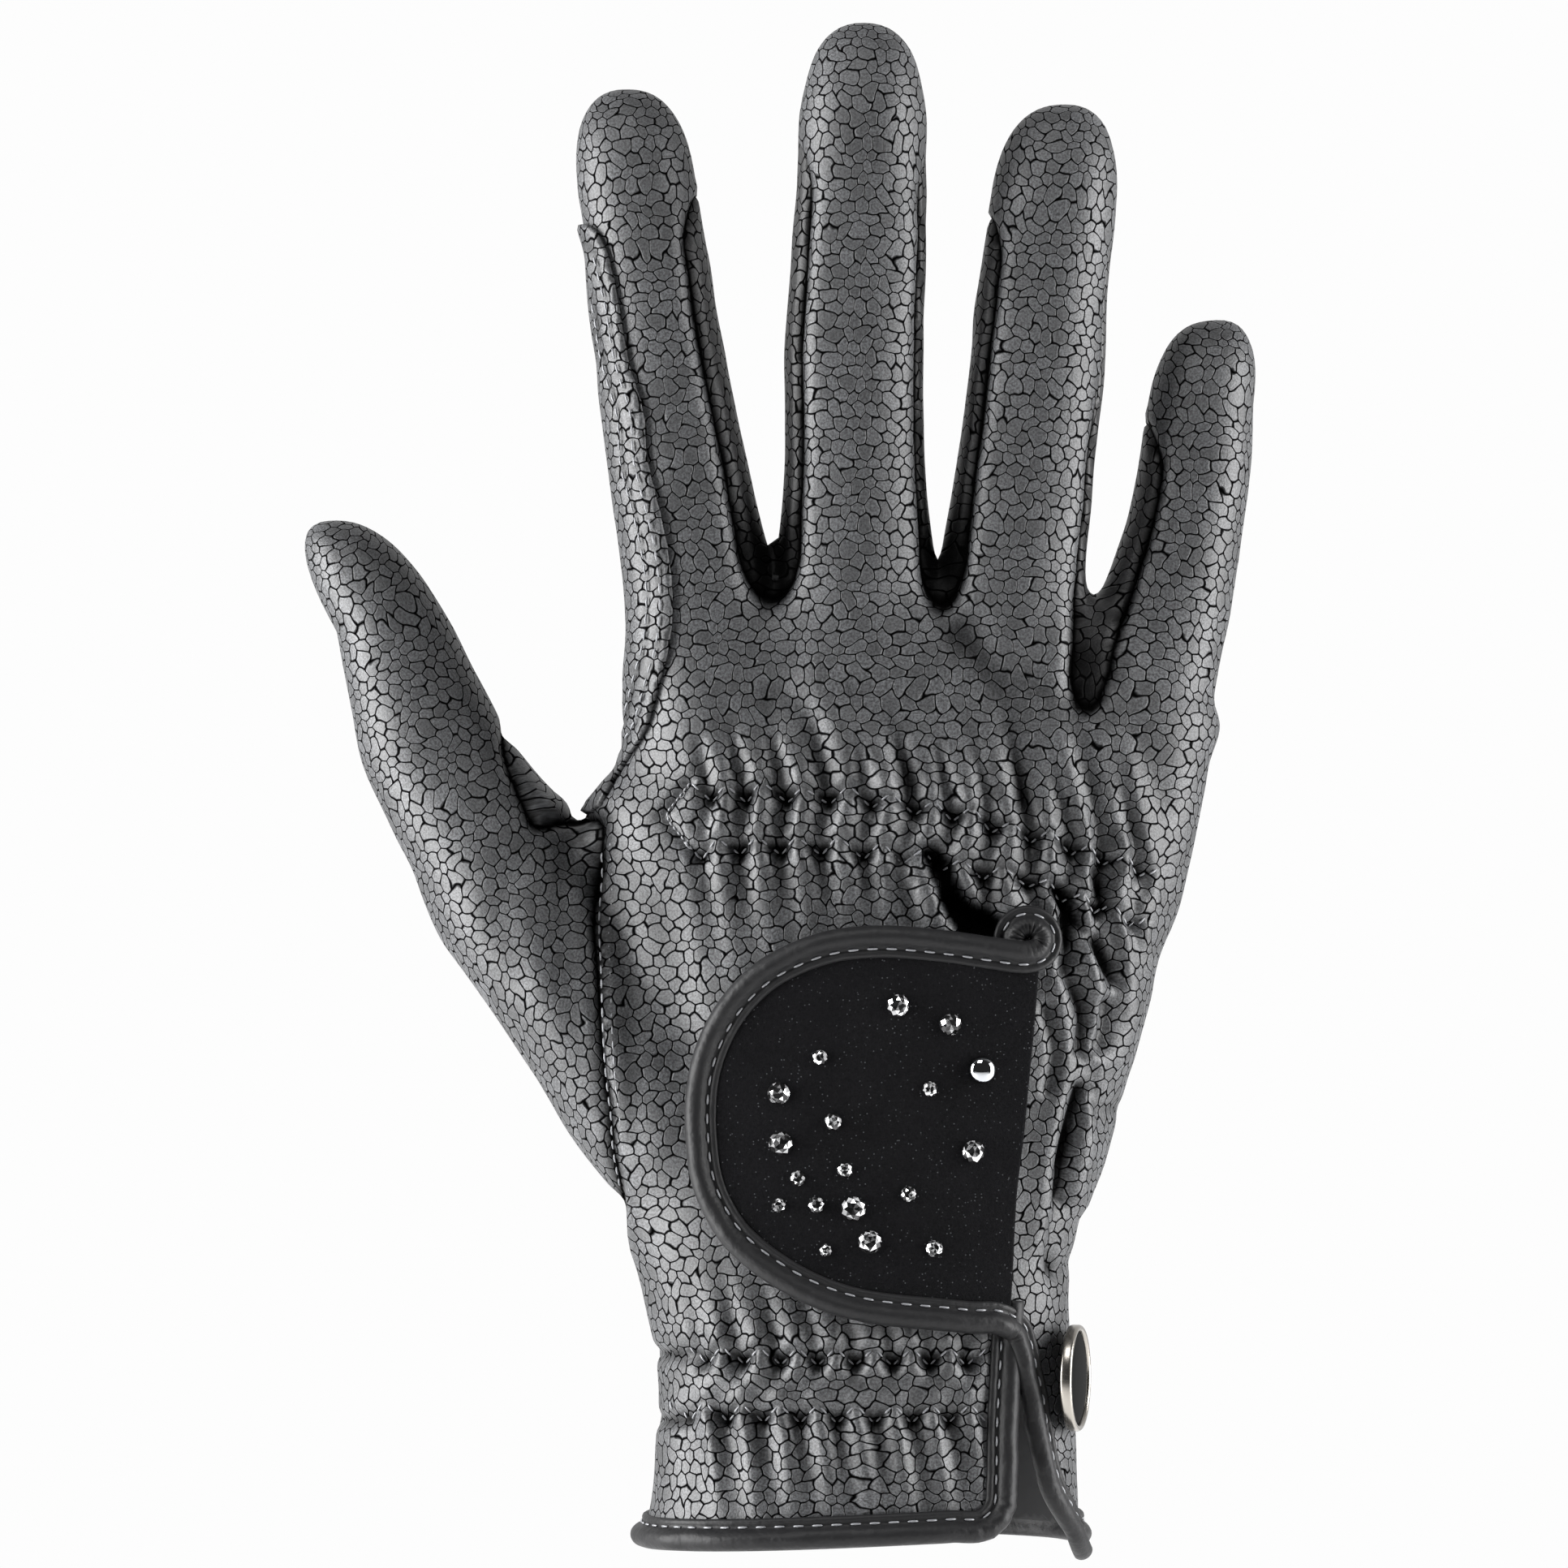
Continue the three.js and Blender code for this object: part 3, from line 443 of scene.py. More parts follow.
def on_back(x, z, rounds=24):
    """The skin on the back of the hand at places in the front view: rays along +Y walk in from
    outside by their distance to the skin. Returns the points and their outward normals."""
    start = np.full(np.size(x), RAY_START)
    points = np.stack([np.ravel(x), start, np.ravel(z)], axis=1).astype(float)
    for _ in range(rounds):
        points[:, 1] += 0.9 * np.clip(glove_distance(points), -2, 8)
    normals = unit(gradient(points))
    shape = np.shape(x) + (3,)
    return points.reshape(shape), normals.reshape(shape)


print("back of the hand at the tab", on_back(np.array([0.0]), np.array([64.7]))[0].round(1))

# %% [markdown]
# ## One skin over all the tubes
#
# Each tube is a grid of sections. Blender's voxel remesh joins them into one even skin, and the
# points are then settled on the soft union of the tubes, which rounds every web.

# %% Skin
SKIN_CELL = 1.3


def rounded_ring(angle, power):
    """Across and deep on a superellipse of half size one, at these angles."""
    return [np.sign(wave) * np.abs(wave) ** (2 / power) for wave in (np.cos(angle), np.sin(angle))]


def tube_grid(tube, around=48, rows=60):
    """Points of a tube as sections times angles, closer together towards its tip."""
    rise = tube["top"] - tube["bottom"]
    z = tube["bottom"] + rise * np.sin(np.linspace(0, np.pi / 2, rows)) * 0.9995
    x, y, half_width, half_depth = section(tube, z)
    up = np.maximum((z - tube["shoulder"]) / tube["tip"], 0)
    shrink = (1 - np.minimum(up, 0.9999) ** TIP_POWER) ** (1 / TIP_POWER)
    across, deep = rounded_ring(np.linspace(0, 2 * np.pi, around, endpoint=False), tube["power"])
    return np.stack(
        [
            x[:, None] + (half_width * shrink)[:, None] * across,
            y[:, None] + (half_depth * shrink)[:, None] * deep,
            np.broadcast_to(z[:, None], (rows, around)),
        ],
        axis=-1,
    )


def grid_faces(rows, columns, wrap=True):
    """Quads of a grid of rows times columns, whose columns join round when wrap is true."""
    i, j = np.meshgrid(np.arange(rows - 1), np.arange(columns - (not wrap)), indexing="ij")
    ahead = (j + 1) % columns
    quads = np.stack([i * columns + j, i * columns + ahead, (i + 1) * columns + ahead,
                      (i + 1) * columns + j], axis=-1)
    return quads.reshape(-1, 4)


def closed_grid(grid, ends=None):
    """Points and triangles of a grid whose columns join round, with a fan over each end to a
    point, which is the ring's middle unless ends are given."""
    rows, around = grid.shape[:2]
    if ends is None:
        ends = grid[[0, -1]].mean(axis=1)
    quads = grid_faces(rows, around)
    ring = np.arange(around)
    ahead = (ring + 1) % around
    last = (rows - 1) * around
    low = np.stack([ahead, ring, np.full(around, rows * around)], axis=1)
    high = np.stack([last + ring, last + ahead, np.full(around, rows * around + 1)], axis=1)
    triangles = np.concatenate([quads[:, [0, 1, 2]], quads[:, [0, 2, 3]], low, high])
    return np.concatenate([grid.reshape(-1, 3), ends]), triangles


def mesh_from(name, points, faces):
    """A Blender mesh from points in millimetres and faces of one size."""
    mesh = bpy.data.meshes.new(name)
    faces = np.asarray(faces, np.int32)
    sides = faces.shape[1]
    mesh.vertices.add(len(points))
    mesh.vertices.foreach_set("co", (np.asarray(points) * MM).astype(np.float32).ravel())
    mesh.loops.add(faces.size)
    mesh.loops.foreach_set("vertex_index", faces.ravel())
    mesh.polygons.add(len(faces))
    mesh.polygons.foreach_set("loop_start", np.arange(0, faces.size, sides, dtype=np.int32))
    mesh.update(calc_edges=True)
    mesh.validate()
    return mesh


def remeshed_union():
    """All tubes in one mesh, closed at both ends, then remeshed at the skin's cell size."""
    points, faces, first = [], [], 0
    for tube in TUBES.values():
        tube_points, triangles = closed_grid(tube_grid(tube))
        points.append(tube_points)
        faces.append(triangles + first)
        first += len(tube_points)
    mesh = mesh_from("tubes", np.concatenate(points), np.concatenate(faces))
    thing = bpy.data.objects.new("tubes", mesh)
    bpy.context.scene.collection.objects.link(thing)
    remesh = thing.modifiers.new("remesh", "REMESH")
    remesh.mode = "VOXEL"
    remesh.voxel_size = SKIN_CELL * MM
    solid = thing.evaluated_get(bpy.context.evaluated_depsgraph_get()).to_mesh()
    co = np.empty(len(solid.vertices) * 3, np.float32)
    solid.vertices.foreach_get("co", co)
    solid.calc_loop_triangles()
    triangles = np.empty(len(solid.loop_triangles) * 3, np.int32)
    solid.loop_triangles.foreach_get("vertices", triangles)
    bpy.data.objects.remove(thing)
    return co.reshape(-1, 3).astype(float) / MM, triangles.reshape(-1, 3)


def relaxed(points, triangles, rounds=4):
    """Each point moves half way to the mean of its neighbours, which evens the net out."""
    edges = np.concatenate([triangles[:, [0, 1]], triangles[:, [1, 2]], triangles[:, [2, 0]]])
    counts = np.bincount(edges.ravel(), minlength=len(points))[:, None]
    for _ in range(rounds):
        total = np.zeros_like(points)
        for axis in range(3):
            total[:, axis] = np.bincount(
                edges[:, 0], points[edges[:, 1], axis], len(points)
            ) + np.bincount(edges[:, 1], points[edges[:, 0], axis], len(points))
        points = 0.5 * points + 0.5 * total / np.maximum(counts, 1)
    return points


skin_points, skin_faces = remeshed_union()
skin_points = settle(relaxed(skin_points, skin_faces))
skin_normals = unit(gradient(skin_points))
print("skin:", len(skin_points), "points,", len(skin_faces), "triangles")

# %% [markdown]
# ## Lines and noise
#
# Seams, folds and stitch rows are drawn in the front view as short lists of points (x, z) in
# millimetres. A smooth curve runs through them. Leather is never quite even, so a soft noise from
# a small table of random numbers disturbs every surface.

# %% Lines and noise
def along_line(line):
    """Length along a line at each of its points."""
    return np.append(0, np.cumsum(np.linalg.norm(np.diff(line, axis=0), axis=1)))


def at_lengths(values, along, wanted):
    """Rows of values, known at lengths along a line, at the wanted lengths."""
    return np.stack([np.interp(wanted, along, column) for column in values.T], axis=1)


def resampled(line, count):
    """A line with a chosen number of evenly spread points."""
    along = along_line(line)
    return at_lengths(line, along, np.linspace(0, along[-1], count))


def curve(points, step=1.0):
    """Points at even steps along a smooth curve through the listed points."""
    points = np.array(points, float)
    along = along_line(points)
    count = max(int(round(along[-1] / step)), 1) + 1
    smooth = smooth_rows(np.column_stack([along, points]), np.linspace(0, along[-1], 4 * count))
    return resampled(smooth, count)


def line_distance(line, x, z):
    """Distance from a line in the front view, positive on the right of its direction."""
    nearest = np.full(np.shape(x), np.inf)
    side = np.zeros(np.shape(x))
    for (ax, az), (bx, bz) in zip(line[:-1], line[1:]):
        step_x, step_z = bx - ax, bz - az
        share = ((x - ax) * step_x + (z - az) * step_z) / (step_x**2 + step_z**2)
        share = np.clip(share, 0, 1)
        dx, dz = x - ax - share * step_x, z - az - share * step_z
        distance = np.hypot(dx, dz)
        nearer = distance < nearest
        nearest = np.where(nearer, distance, nearest)
        side = np.where(nearer, step_z * dx - step_x * dz, side)
    return nearest * np.where(side < 0, -1, 1)


NOISE_SIDE = 32
noise_table = rng.uniform(-1, 1, (NOISE_SIDE,) * 3)


def noise(points, size, shift=0.0):
    """Soft noise from -1 to 1 at points, with lumps of this size: the random table's eight
    corners round each point, mixed by a smooth weight."""
    place = points / size + shift
    low = np.floor(place).astype(int)
    part = place - low
    part = part * part * (3 - 2 * part)
    total = np.zeros(len(points))
    for corner in np.ndindex(2, 2, 2):
        i = (low + corner) % NOISE_SIDE
        weight = np.prod(np.where(corner, part, 1 - part), axis=1)
        total += weight * noise_table[i[:, 0], i[:, 1], i[:, 2]]
    return total


def bump(distance, width):
    """One at a line and zero away from it, like a bell."""
    return np.exp(-((distance / width) ** 2))


def step_up(value, start, end):
    """Zero before start, one after end, smooth between."""
    share = np.clip((value - start) / (end - start), 0, 1)
    return share * share * (3 - 2 * share)


print("a curve has", len(curve([(0, 0), (3, 4), (8, 4)])), "points")

# %% [markdown]
# ## Pattern pieces
#
# The maker cuts the back and palm as one panel, sews in a thumb, and sets a narrow strip between
# each pair of fingers. Each cut is a formula that is negative inside its piece, so one function
# can trim a mesh along any of them.

# %% Cuts
THUMB_SEAM = curve([
    (-90.0, 46.5), (-60.0, 46.5), (-37.5, 47.5), (-37.0, 52.0), (-38.6, 63.0), (-40.2, 93.5),
    (-40.7, 106.0), (-42.0, 112.6), (-45.8, 112.2), (-49.3, 111.4), (-51.4, 114.5),
    (-53.4, 119.0), (-54.6, 123.5), (-54.0, 129.0), (-51.0, 140.0), (-50.0, 170.0),
], 1.5)
STRIPS = {
    "index_middle": dict(pair=("index", "middle"), inset=(0.67, 0.80), bottom=146.4),
    "middle_ring": dict(pair=("middle", "ring"), inset=(0.92, 0.77), bottom=145.6),
    "ring_little": dict(pair=("ring", "little"), inset=(0.93, 0.62), bottom=129.6),
}
STRIP_ROUND = 7.0
# Over these heights under the fingertip a strip's seam runs out to this share of the half width
STRIP_END = (26.0, 9.0)
STRIP_OUT = 1.25
# A point this close to a cut counts as on it, in millimetres
ON_CUT = 0.1
# Height of the hem at the palm, its slope across the back, where that starts, and the depth over
# which the back's slope sets in
HEM_HEIGHT, HEM_SLOPE, HEM_FROM, HEM_DEPTH = 3.0, 0.045, -34, 14
# Height, then the left and right edge of the vent below the tab
VENT = [(-9, 20.9, 35.0), (2, 21.0, 32.6), (10, 21.2, 29.2), (20, 21.6, 26.6), (28, 22.1, 24.6),
        (36, 22.6, 23.2)]


def strip_value(strip, x, z):
    """Negative in the strip between two fingers: between its two seams, and above a rounded
    bottom. Below each fingertip the seams run out to the finger's side."""
    sides = []
    for name, inset, direction in zip(strip["pair"], strip["inset"], (1, -1)):
        tube = TUBES[name]
        middle, _, half_width, _ = section(tube, z)
        below_tip = tube["top"] - z
        share = inset + (STRIP_OUT - inset) * step_up(-below_tip, -STRIP_END[0], -STRIP_END[1])
        sides.append(middle + direction * share * half_width)
    centre = (sides[0] + sides[1]) / 2
    half = np.maximum((sides[1] - sides[0]) / 2, 1.0)
    up = np.maximum(strip["bottom"] + STRIP_ROUND - z, 0) / STRIP_ROUND
    return (np.hypot((x - centre) / half, up) - 1) * half


def vent_value(points):
    """Negative inside the vent, which is cut through the back only."""
    height, left, right = np.array(VENT).T
    x, y, z = points.T
    inside = np.maximum(np.interp(z, height, left) - x, x - np.interp(z, height, right))
    on_palm = 9.0
    return np.where(y < 0, np.maximum(inside, z - height[-1]), on_palm)


def rolled(flags, wanted):
    """The order of each face's corners that puts the first one with the wanted flag in front."""
    return (np.argmax(flags == wanted, axis=1)[:, None] + np.arange(3)) % 3


def clip(points, triangles, values, normals):
    """The part of a triangle mesh where values are negative. Crossed triangles are cut along the
    zero line, and both sides of a cut get the same new points. A point close to the line counts
    as on it, so no sliver is left."""
    on_line = np.abs(values) < ON_CUT
    values = np.where(on_line, -1e-6, values)
    inside = values < 0
    count = inside[triangles].sum(axis=1)
    kept, edge_ends = [triangles[count == 3]], []
    for wanted, front, pattern in ((1, True, [(0, 3, 4)]), (2, False, [(3, 1, 2), (3, 2, 4)])):
        chosen = triangles[count == wanted]
        turned = np.take_along_axis(chosen, rolled(inside[chosen], front), axis=1)
        new = len(points) + sum(map(len, edge_ends)) + np.arange(len(turned))
        edge_ends.append(np.concatenate([turned[:, [0, 1]], turned[:, [0, 2]]]))
        corners = np.column_stack([turned, new, new + len(turned)])
        kept.append(corners[:, pattern].reshape(-1, 3))
    ends = np.sort(np.concatenate(edge_ends), axis=1)
    a, b = values[ends[:, 0]], values[ends[:, 1]]
    share = (a / (a - b))[:, None]
    cut_points = points[ends[:, 0]] * (1 - share) + points[ends[:, 1]] * share
    cut_normals = unit(normals[ends[:, 0]] * (1 - share) + normals[ends[:, 1]] * share)
    all_points = np.concatenate([points, cut_points])
    all_normals = np.concatenate([normals, cut_normals])
    faces = np.concatenate(kept)
    unique, same = np.unique(ends, axis=0, return_inverse=True)
    first_of = np.zeros(len(unique), int)
    first_of[same.ravel()[::-1]] = np.arange(len(ends))[::-1]
    merged = len(points) + first_of[same.ravel()]
    merged = np.where(on_line[ends[:, 1]], ends[:, 1], merged)
    merged = np.where(on_line[ends[:, 0]], ends[:, 0], merged)
    faces = np.concatenate([np.arange(len(points)), merged])[faces]
    a, b, c = faces.T
    faces = faces[(a != b) & (b != c) & (c != a)]
    used, faces = np.unique(faces, return_inverse=True)
    return all_points[used], faces.reshape(-1, 3), all_normals[used]


def hem_rise(points):
    """How far the wrist opening's edge rises along the back towards the vent."""
    return HEM_SLOPE * (points[:, 0] - HEM_FROM) * np.clip(-points[:, 1] / HEM_DEPTH, 0, 1)


skin = dict(points=skin_points, faces=skin_faces, normals=skin_normals)


def cut(mesh, value):
    """A mesh trimmed to where value(points) is negative."""
    points, faces, normals = clip(
        mesh["points"], mesh["faces"], value(mesh["points"]), mesh["normals"]
    )
    return dict(points=points, faces=faces, normals=normals)


def thumb_side(points):
    """Negative on the thumb's side of its seam."""
    return line_distance(THUMB_SEAM, points[:, 0], points[:, 2])


shell = cut(skin, lambda p: HEM_HEIGHT + hem_rise(p) - p[:, 2])
thumb = cut(shell, thumb_side)
hand = cut(shell, lambda p: -thumb_side(p))
strips = {}
for strip_name, strip in STRIPS.items():
    strips[strip_name] = cut(hand, lambda p: strip_value(strip, p[:, 0], p[:, 2]))
    hand = cut(hand, lambda p: -strip_value(strip, p[:, 0], p[:, 2]))
hand = cut(hand, lambda p: -vent_value(p))
print("hand", len(hand["faces"]), "thumb", len(thumb["faces"]),
      "strips", [len(s["faces"]) for s in strips.values()])

# %% [markdown]
# ## Relief
#
# Elastic sewn to the inside draws the leather into ribs between two zigzag rows, and the ribs fan
# out and fade beyond them. Seams pull the leather down, and it bulges beside them. Long folds
# bunch where the cuff closes. All of it is a height along the skin's normal, in millimetres.

# %% Relief
def from_photo(points):
    """Places in the front view, from positions in the photograph counted in its pixels."""
    table = np.array(points, float)
    return np.stack([(table[:, 0] - PHOTO_ZERO_X) * PIXEL, (PHOTO_ZERO_Y - table[:, 1]) * PIXEL], 1)


ROW_A = from_photo([
    (851, 963), (876, 986), (895, 968), (919, 986), (938, 963), (969, 986), (989, 971), (1021, 989),
    (1045, 968), (1073, 994), (1096, 978), (1126, 1002), (1148, 987), (1172, 1010), (1195, 994),
    (1220, 1025), (1243, 1012), (1269, 1038), (1289, 1022), (1320, 1053), (1338, 1040),
    (1358, 1066), (1384, 1053), (1404, 1079), (1422, 1071),
])
ROW_B = from_photo([
    (840, 1034), (863, 1059), (885, 1032), (910, 1052), (933, 1030), (961, 1052), (981, 1030),
    (1011, 1052), (1032, 1030), (1063, 1057), (1084, 1037), (1111, 1063), (1135, 1045),
    (1160, 1070), (1182, 1058), (1210, 1082), (1230, 1066), (1266, 1091), (1289, 1081),
    (1310, 1109), (1330, 1099), (1350, 1124), (1368, 1114), (1390, 1140), (1406, 1130),
])
CHEVRON = from_photo([(851, 963), (818, 1004), (863, 1059)])
WRIST_PITCH = 23
ROW_C = from_photo([(845 + WRIST_PITCH * k, 1651 + 22 * (k % 2)) for k in range(17)])
ROW_D = from_photo([(823 + WRIST_PITCH * k, 1720 + 22 * (k % 2)) for k in range(18)])
# Two rows of stitches, how far the ribs reach above and below them, and the ribs' height
RIBS = [(ROW_A, ROW_B, (9.0, 9.0), 1.2), (ROW_C, ROW_D, (7.0, 11.0), 1.05)]
# How deep and how wide the stitches pull the leather in, and the bulge between two rows as a
# share of the ribs' height
SEWN_DEPTH, SEWN_WIDTH, PUFF = 1.25, 0.85, 0.4
# The single fold of stitches that closes the upper rows' end
CHEVRON_DEPTH, CHEVRON_WIDTH = 0.8, 0.8
# Heights, sizes and shifts of the soft noises that keep the leather from lying even
UNEVEN = [(0.30, 14.0, 0.0), (0.16, 6.0, 3.3)]
# Folds and ribs fade between these parts of the normal towards the back
BACK_TURN = (-0.35, 0.25)
# All the folds' heights are multiplied by this
FOLD_SCALE = 1.2
# Width and height in millimetres, then the line in the photograph's pixels
FOLDS = [
    (1.5, -2.8, (1143, 1052), (1168, 1100), (1190, 1146)),
    (1.6, -2.4, (1172, 1108), (1205, 1132), (1224, 1142)),
    (2.2, 1.2, (1122, 1068), (1150, 1110), (1168, 1136)),
    (1.1, -1.3, (1304, 1133), (1312, 1160), (1308, 1180)),
    (1.2, -1.5, (1291, 1093), (1320, 1125), (1340, 1153), (1372, 1206)),
    (1.1, -1.3, (1344, 1072), (1364, 1121), (1376, 1181)),
    (1.1, -1.4, (1308, 1194), (1332, 1246), (1328, 1290)),
    (1.3, -1.8, (1358, 1236), (1356, 1262), (1350, 1286)),
    (1.4, -1.9, (1330, 1340), (1316, 1390), (1308, 1424), (1304, 1476)),
    (1.2, -0.9, (1340, 1316), (1346, 1346), (1350, 1366)),
    (1.2, -0.9, (1294, 1496), (1290, 1530), (1296, 1560)),
    (1.0, -1.0, (1286, 1240), (1296, 1290), (1290, 1340)),
    (2.0, 1.0, (1330, 1180), (1350, 1230), (1344, 1310), (1334, 1380)),
    (2.2, 0.7, (1296, 1210), (1306, 1300), (1290, 1420), (1282, 1520)),
    (1.9, 0.8, (1384, 1130), (1396, 1210), (1376, 1300)),
    (2.0, 0.9, (1336, 1410), (1322, 1490)),
    (1.5, -0.6, (1450, 1368), (1400, 1372), (1370, 1364)),
    (1.5, -0.6, (1420, 1500), (1344, 1504), (1320, 1496)),
    (1.5, -0.6, (1400, 1556), (1330, 1552), (1300, 1560)),
    (1.2, -1.1, (770, 1666), (812, 1666), (850, 1664)),
    (1.2, -1.1, (770, 1748), (812, 1748), (840, 1742)),
    (3.2, -0.7, (962, 852), (1010, 905), (1042, 958)),
    (3.0, 0.5, (990, 848), (1040, 900), (1075, 958)),
    (3.0, -0.6, (1050, 850), (1092, 905), (1120, 960)),
    (3.4, -0.8, (1180, 780), (1240, 860), (1262, 980)),
    (3.4, -0.7, (1270, 830), (1330, 910), (1372, 1010)),
    (3.2, -0.6, (1330, 850), (1390, 900), (1432, 990)),
    (3.0, -0.6, (738, 1010), (752, 1110), (770, 1230), (776, 1400)),
    (3.4, -0.5, (742, 1008), (790, 1090), (830, 1190), (850, 1290)),
    (3.0, -0.7, (700, 1024), (690, 1120), (706, 1240), (740, 1370)),
    (3.0, -0.5, (660, 1020), (620, 1110), (640, 1200)),
]


def rib_wave(x, row, lean):
    """A wave across a zigzag row with its crests over the row's upper corners."""
    upper = np.where(row[:, 1] > np.interp(row[:, 0], row[::2, 0], row[::2, 1]) - 1e-6, 0.0, 0.5)
    phase = np.arange(len(row)) / 2 + (upper[0] > 0) * 0.5
    return np.cos(2 * np.pi * np.interp(x + lean, row[:, 0], phase))


def gathers(x, z, top, bottom, reach, height):
    """Ribs that stand between two zigzag rows and fade above and below them."""
    top_z = np.interp(x, top[:, 0], top[:, 1])
    bottom_z = np.interp(x, bottom[:, 0], bottom[:, 1])
    above = np.maximum(z - top_z, 0)
    below = np.maximum(bottom_z - z, 0)
    share = np.clip((top_z - z) / (top_z - bottom_z), 0, 1)
    wave = (1 - share) * rib_wave(x, top, 0.25 * above) + share * rib_wave(x, bottom, -0.15 * below)
    fade = np.exp(-((above / reach[0]) ** 1.3) - (below / reach[1]) ** 1.3)
    ends = step_up(x, top[0, 0] - 2, top[0, 0] + 5) * step_up(-x, -top[-1, 0] - 2, -top[-1, 0] + 4)
    sewn = sum(bump(line_distance(row, x, z), SEWN_WIDTH) for row in (top, bottom))
    puff = bump((z - (top_z + bottom_z) / 2) / (top_z - bottom_z), 0.8)
    pulled = SEWN_DEPTH * np.minimum(sewn, 1.0)
    return ends * (height * wave * fade + PUFF * height * puff - pulled)


def relief(points, normals):
    """Height of the skin over its plain form, without the seams."""
    x, _, z = points.T
    back = step_up(-normals[:, 1], *BACK_TURN)
    total = sum(gathers(x, z, *ribs) for ribs in RIBS)
    total -= CHEVRON_DEPTH * bump(line_distance(CHEVRON, x, z), CHEVRON_WIDTH)
    for width, height, *line in FOLDS:
        distance = line_distance(curve(from_photo(line), 2.0), x, z)
        total += FOLD_SCALE * height * bump(distance, width)
    return total * back + sum(height * noise(points, *lump) for height, *lump in UNEVEN)


# Depth and width of a seam, and height, distance and width of the bulge next to it
SEAM_DEPTH, SEAM_WIDTH = 0.85, 1.0
BULGE_HEIGHT, BULGE_AT, BULGE_WIDTH = 0.28, 2.6, 1.7


def seam_roll(distance):
    """Leather beside a seam dives at the seam and bulges next to it."""
    bulge = BULGE_HEIGHT * bump(distance - BULGE_AT, BULGE_WIDTH)
    return -SEAM_DEPTH * bump(distance, SEAM_WIDTH) + bulge


print("deepest fold", min(fold[1] for fold in FOLDS), "mm")

# %% [markdown]
# ## A flat pattern for the grain
#
# The embossed scales were pressed into flat leather, so their pattern needs flat coordinates.
# Each point gets the length round its tube from the middle of the back, and its height up the
# tube. The palm has its own sheet, counted from the palm's middle.

# %% Flat pattern
ARC_STEPS = 64
ARC_RATIOS = np.linspace(0.2, 2.2, 41)
arc_angle = np.linspace(0, np.pi / 2, ARC_STEPS + 1)
arc_across = np.cos(arc_angle) ** (2 / 2.2)
arc_deep = np.sin(arc_angle) ** (2 / 2.2)
arc_table = np.stack([
    np.append(0, np.cumsum(np.hypot(np.diff(arc_across), ratio * np.diff(arc_deep))))
    for ratio in ARC_RATIOS
])


def arc_length(angle, half_across, half_deep):
    """Length along a quarter of a superellipse from its side to this angle."""
    row = np.clip((half_deep / half_across - 0.2) / 0.05, 0, len(ARC_RATIOS) - 1.001)
    column = np.clip(angle / (np.pi / 2) * ARC_STEPS, 0, ARC_STEPS - 0.001)
    i, j = row.astype(int), column.astype(int)
    a, b = row - i, column - j
    low = arc_table[i, j] * (1 - b) + arc_table[i, j + 1] * b
    high = arc_table[i + 1, j] * (1 - b) + arc_table[i + 1, j + 1] * b
    return half_across * (low * (1 - a) + high * a)


# Between these heights in millimetres the hand's thumb side and the thumb's inner side count their
# pattern straight across, so that it runs on over the web
WEB_LOW, WEB_HIGH = (40, 50), (104, 122)
# The flat patterns of neighbouring tubes mix over this distance, and the palm's sheet is placed by
# the hand's width below this height
CHART_BLEND = 2.2
SHEET_TOP = 110.0


def tube_chart(tube, points):
    """For one tube: flat coordinates on the back's sheet and on the palm's sheet, and how far
    round towards the palm each point lies, from -1 at the back to 1."""
    x, y, half_width, half_depth = section(tube, points[:, 2])
    power = tube["power"]
    across = (points[:, 0] - x) / half_width
    deep = (points[:, 1] - y) / half_depth
    angle = np.arctan2(np.abs(deep) ** (power / 2), np.abs(across) ** (power / 2))
    quarter = arc_length(np.full_like(angle, np.pi / 2), half_width, half_depth)
    from_centre = quarter - arc_length(angle, half_width, half_depth)
    flat = np.minimum((np.abs(across) ** power + np.abs(deep) ** power) ** (1 / power), 1.0)
    end = tube["root"][2] + tube["length"] - tube["tip"]
    up = np.clip((points[:, 2] - end) / tube["tip"], 0, 1)
    rise = np.arctan2(up**1.25, np.maximum(flat, 1e-3) ** 1.25)
    height = points[:, 2] + np.where(
        up > 0, arc_length(rise, half_depth, np.full_like(rise, tube["tip"])) - up * tube["tip"], 0
    )
    shrink = np.where(up > 0, flat, 1.0)
    sign = np.where(across < 0, -1.0, 1.0)
    joined = (step_up(-points[:, 2], -WEB_HIGH[1], -WEB_HIGH[0])
              * step_up(points[:, 2], *WEB_LOW))
    inner_side = {"thumb": sign > 0, "hand": sign < 0}
    for name, facing in inner_side.items():
        if tube is TUBES[name]:
            plain = joined * facing
            from_centre = from_centre * (1 - plain) + np.abs(points[:, 0] - x) * plain
    near = sign * from_centre * shrink
    far = sign * (2 * quarter - from_centre) * shrink
    palm = deep > 0
    tilt = math.atan2(tube["lean"], tube["length"])
    cosine, sine = math.cos(tilt), math.sin(tilt)
    base = tube["root"][2] + 20
    x = x - tube["lean"] * (points[:, 2] - base) / tube["length"]
    height = base + (height - base) / cosine
    back_side = np.stack([x + np.where(palm, far, near) * cosine,
                          height + np.where(palm, far, near) * sine], axis=1)
    palm_side = np.stack([-x - np.where(palm, near, far) * cosine,
                          height + np.where(palm, near, far) * sine], axis=1)
    turned = np.abs(np.where(palm, far, near)) / quarter - 1
    turned = np.where(sign < 0, turned - 0.5, turned)
    return back_side, palm_side, turned


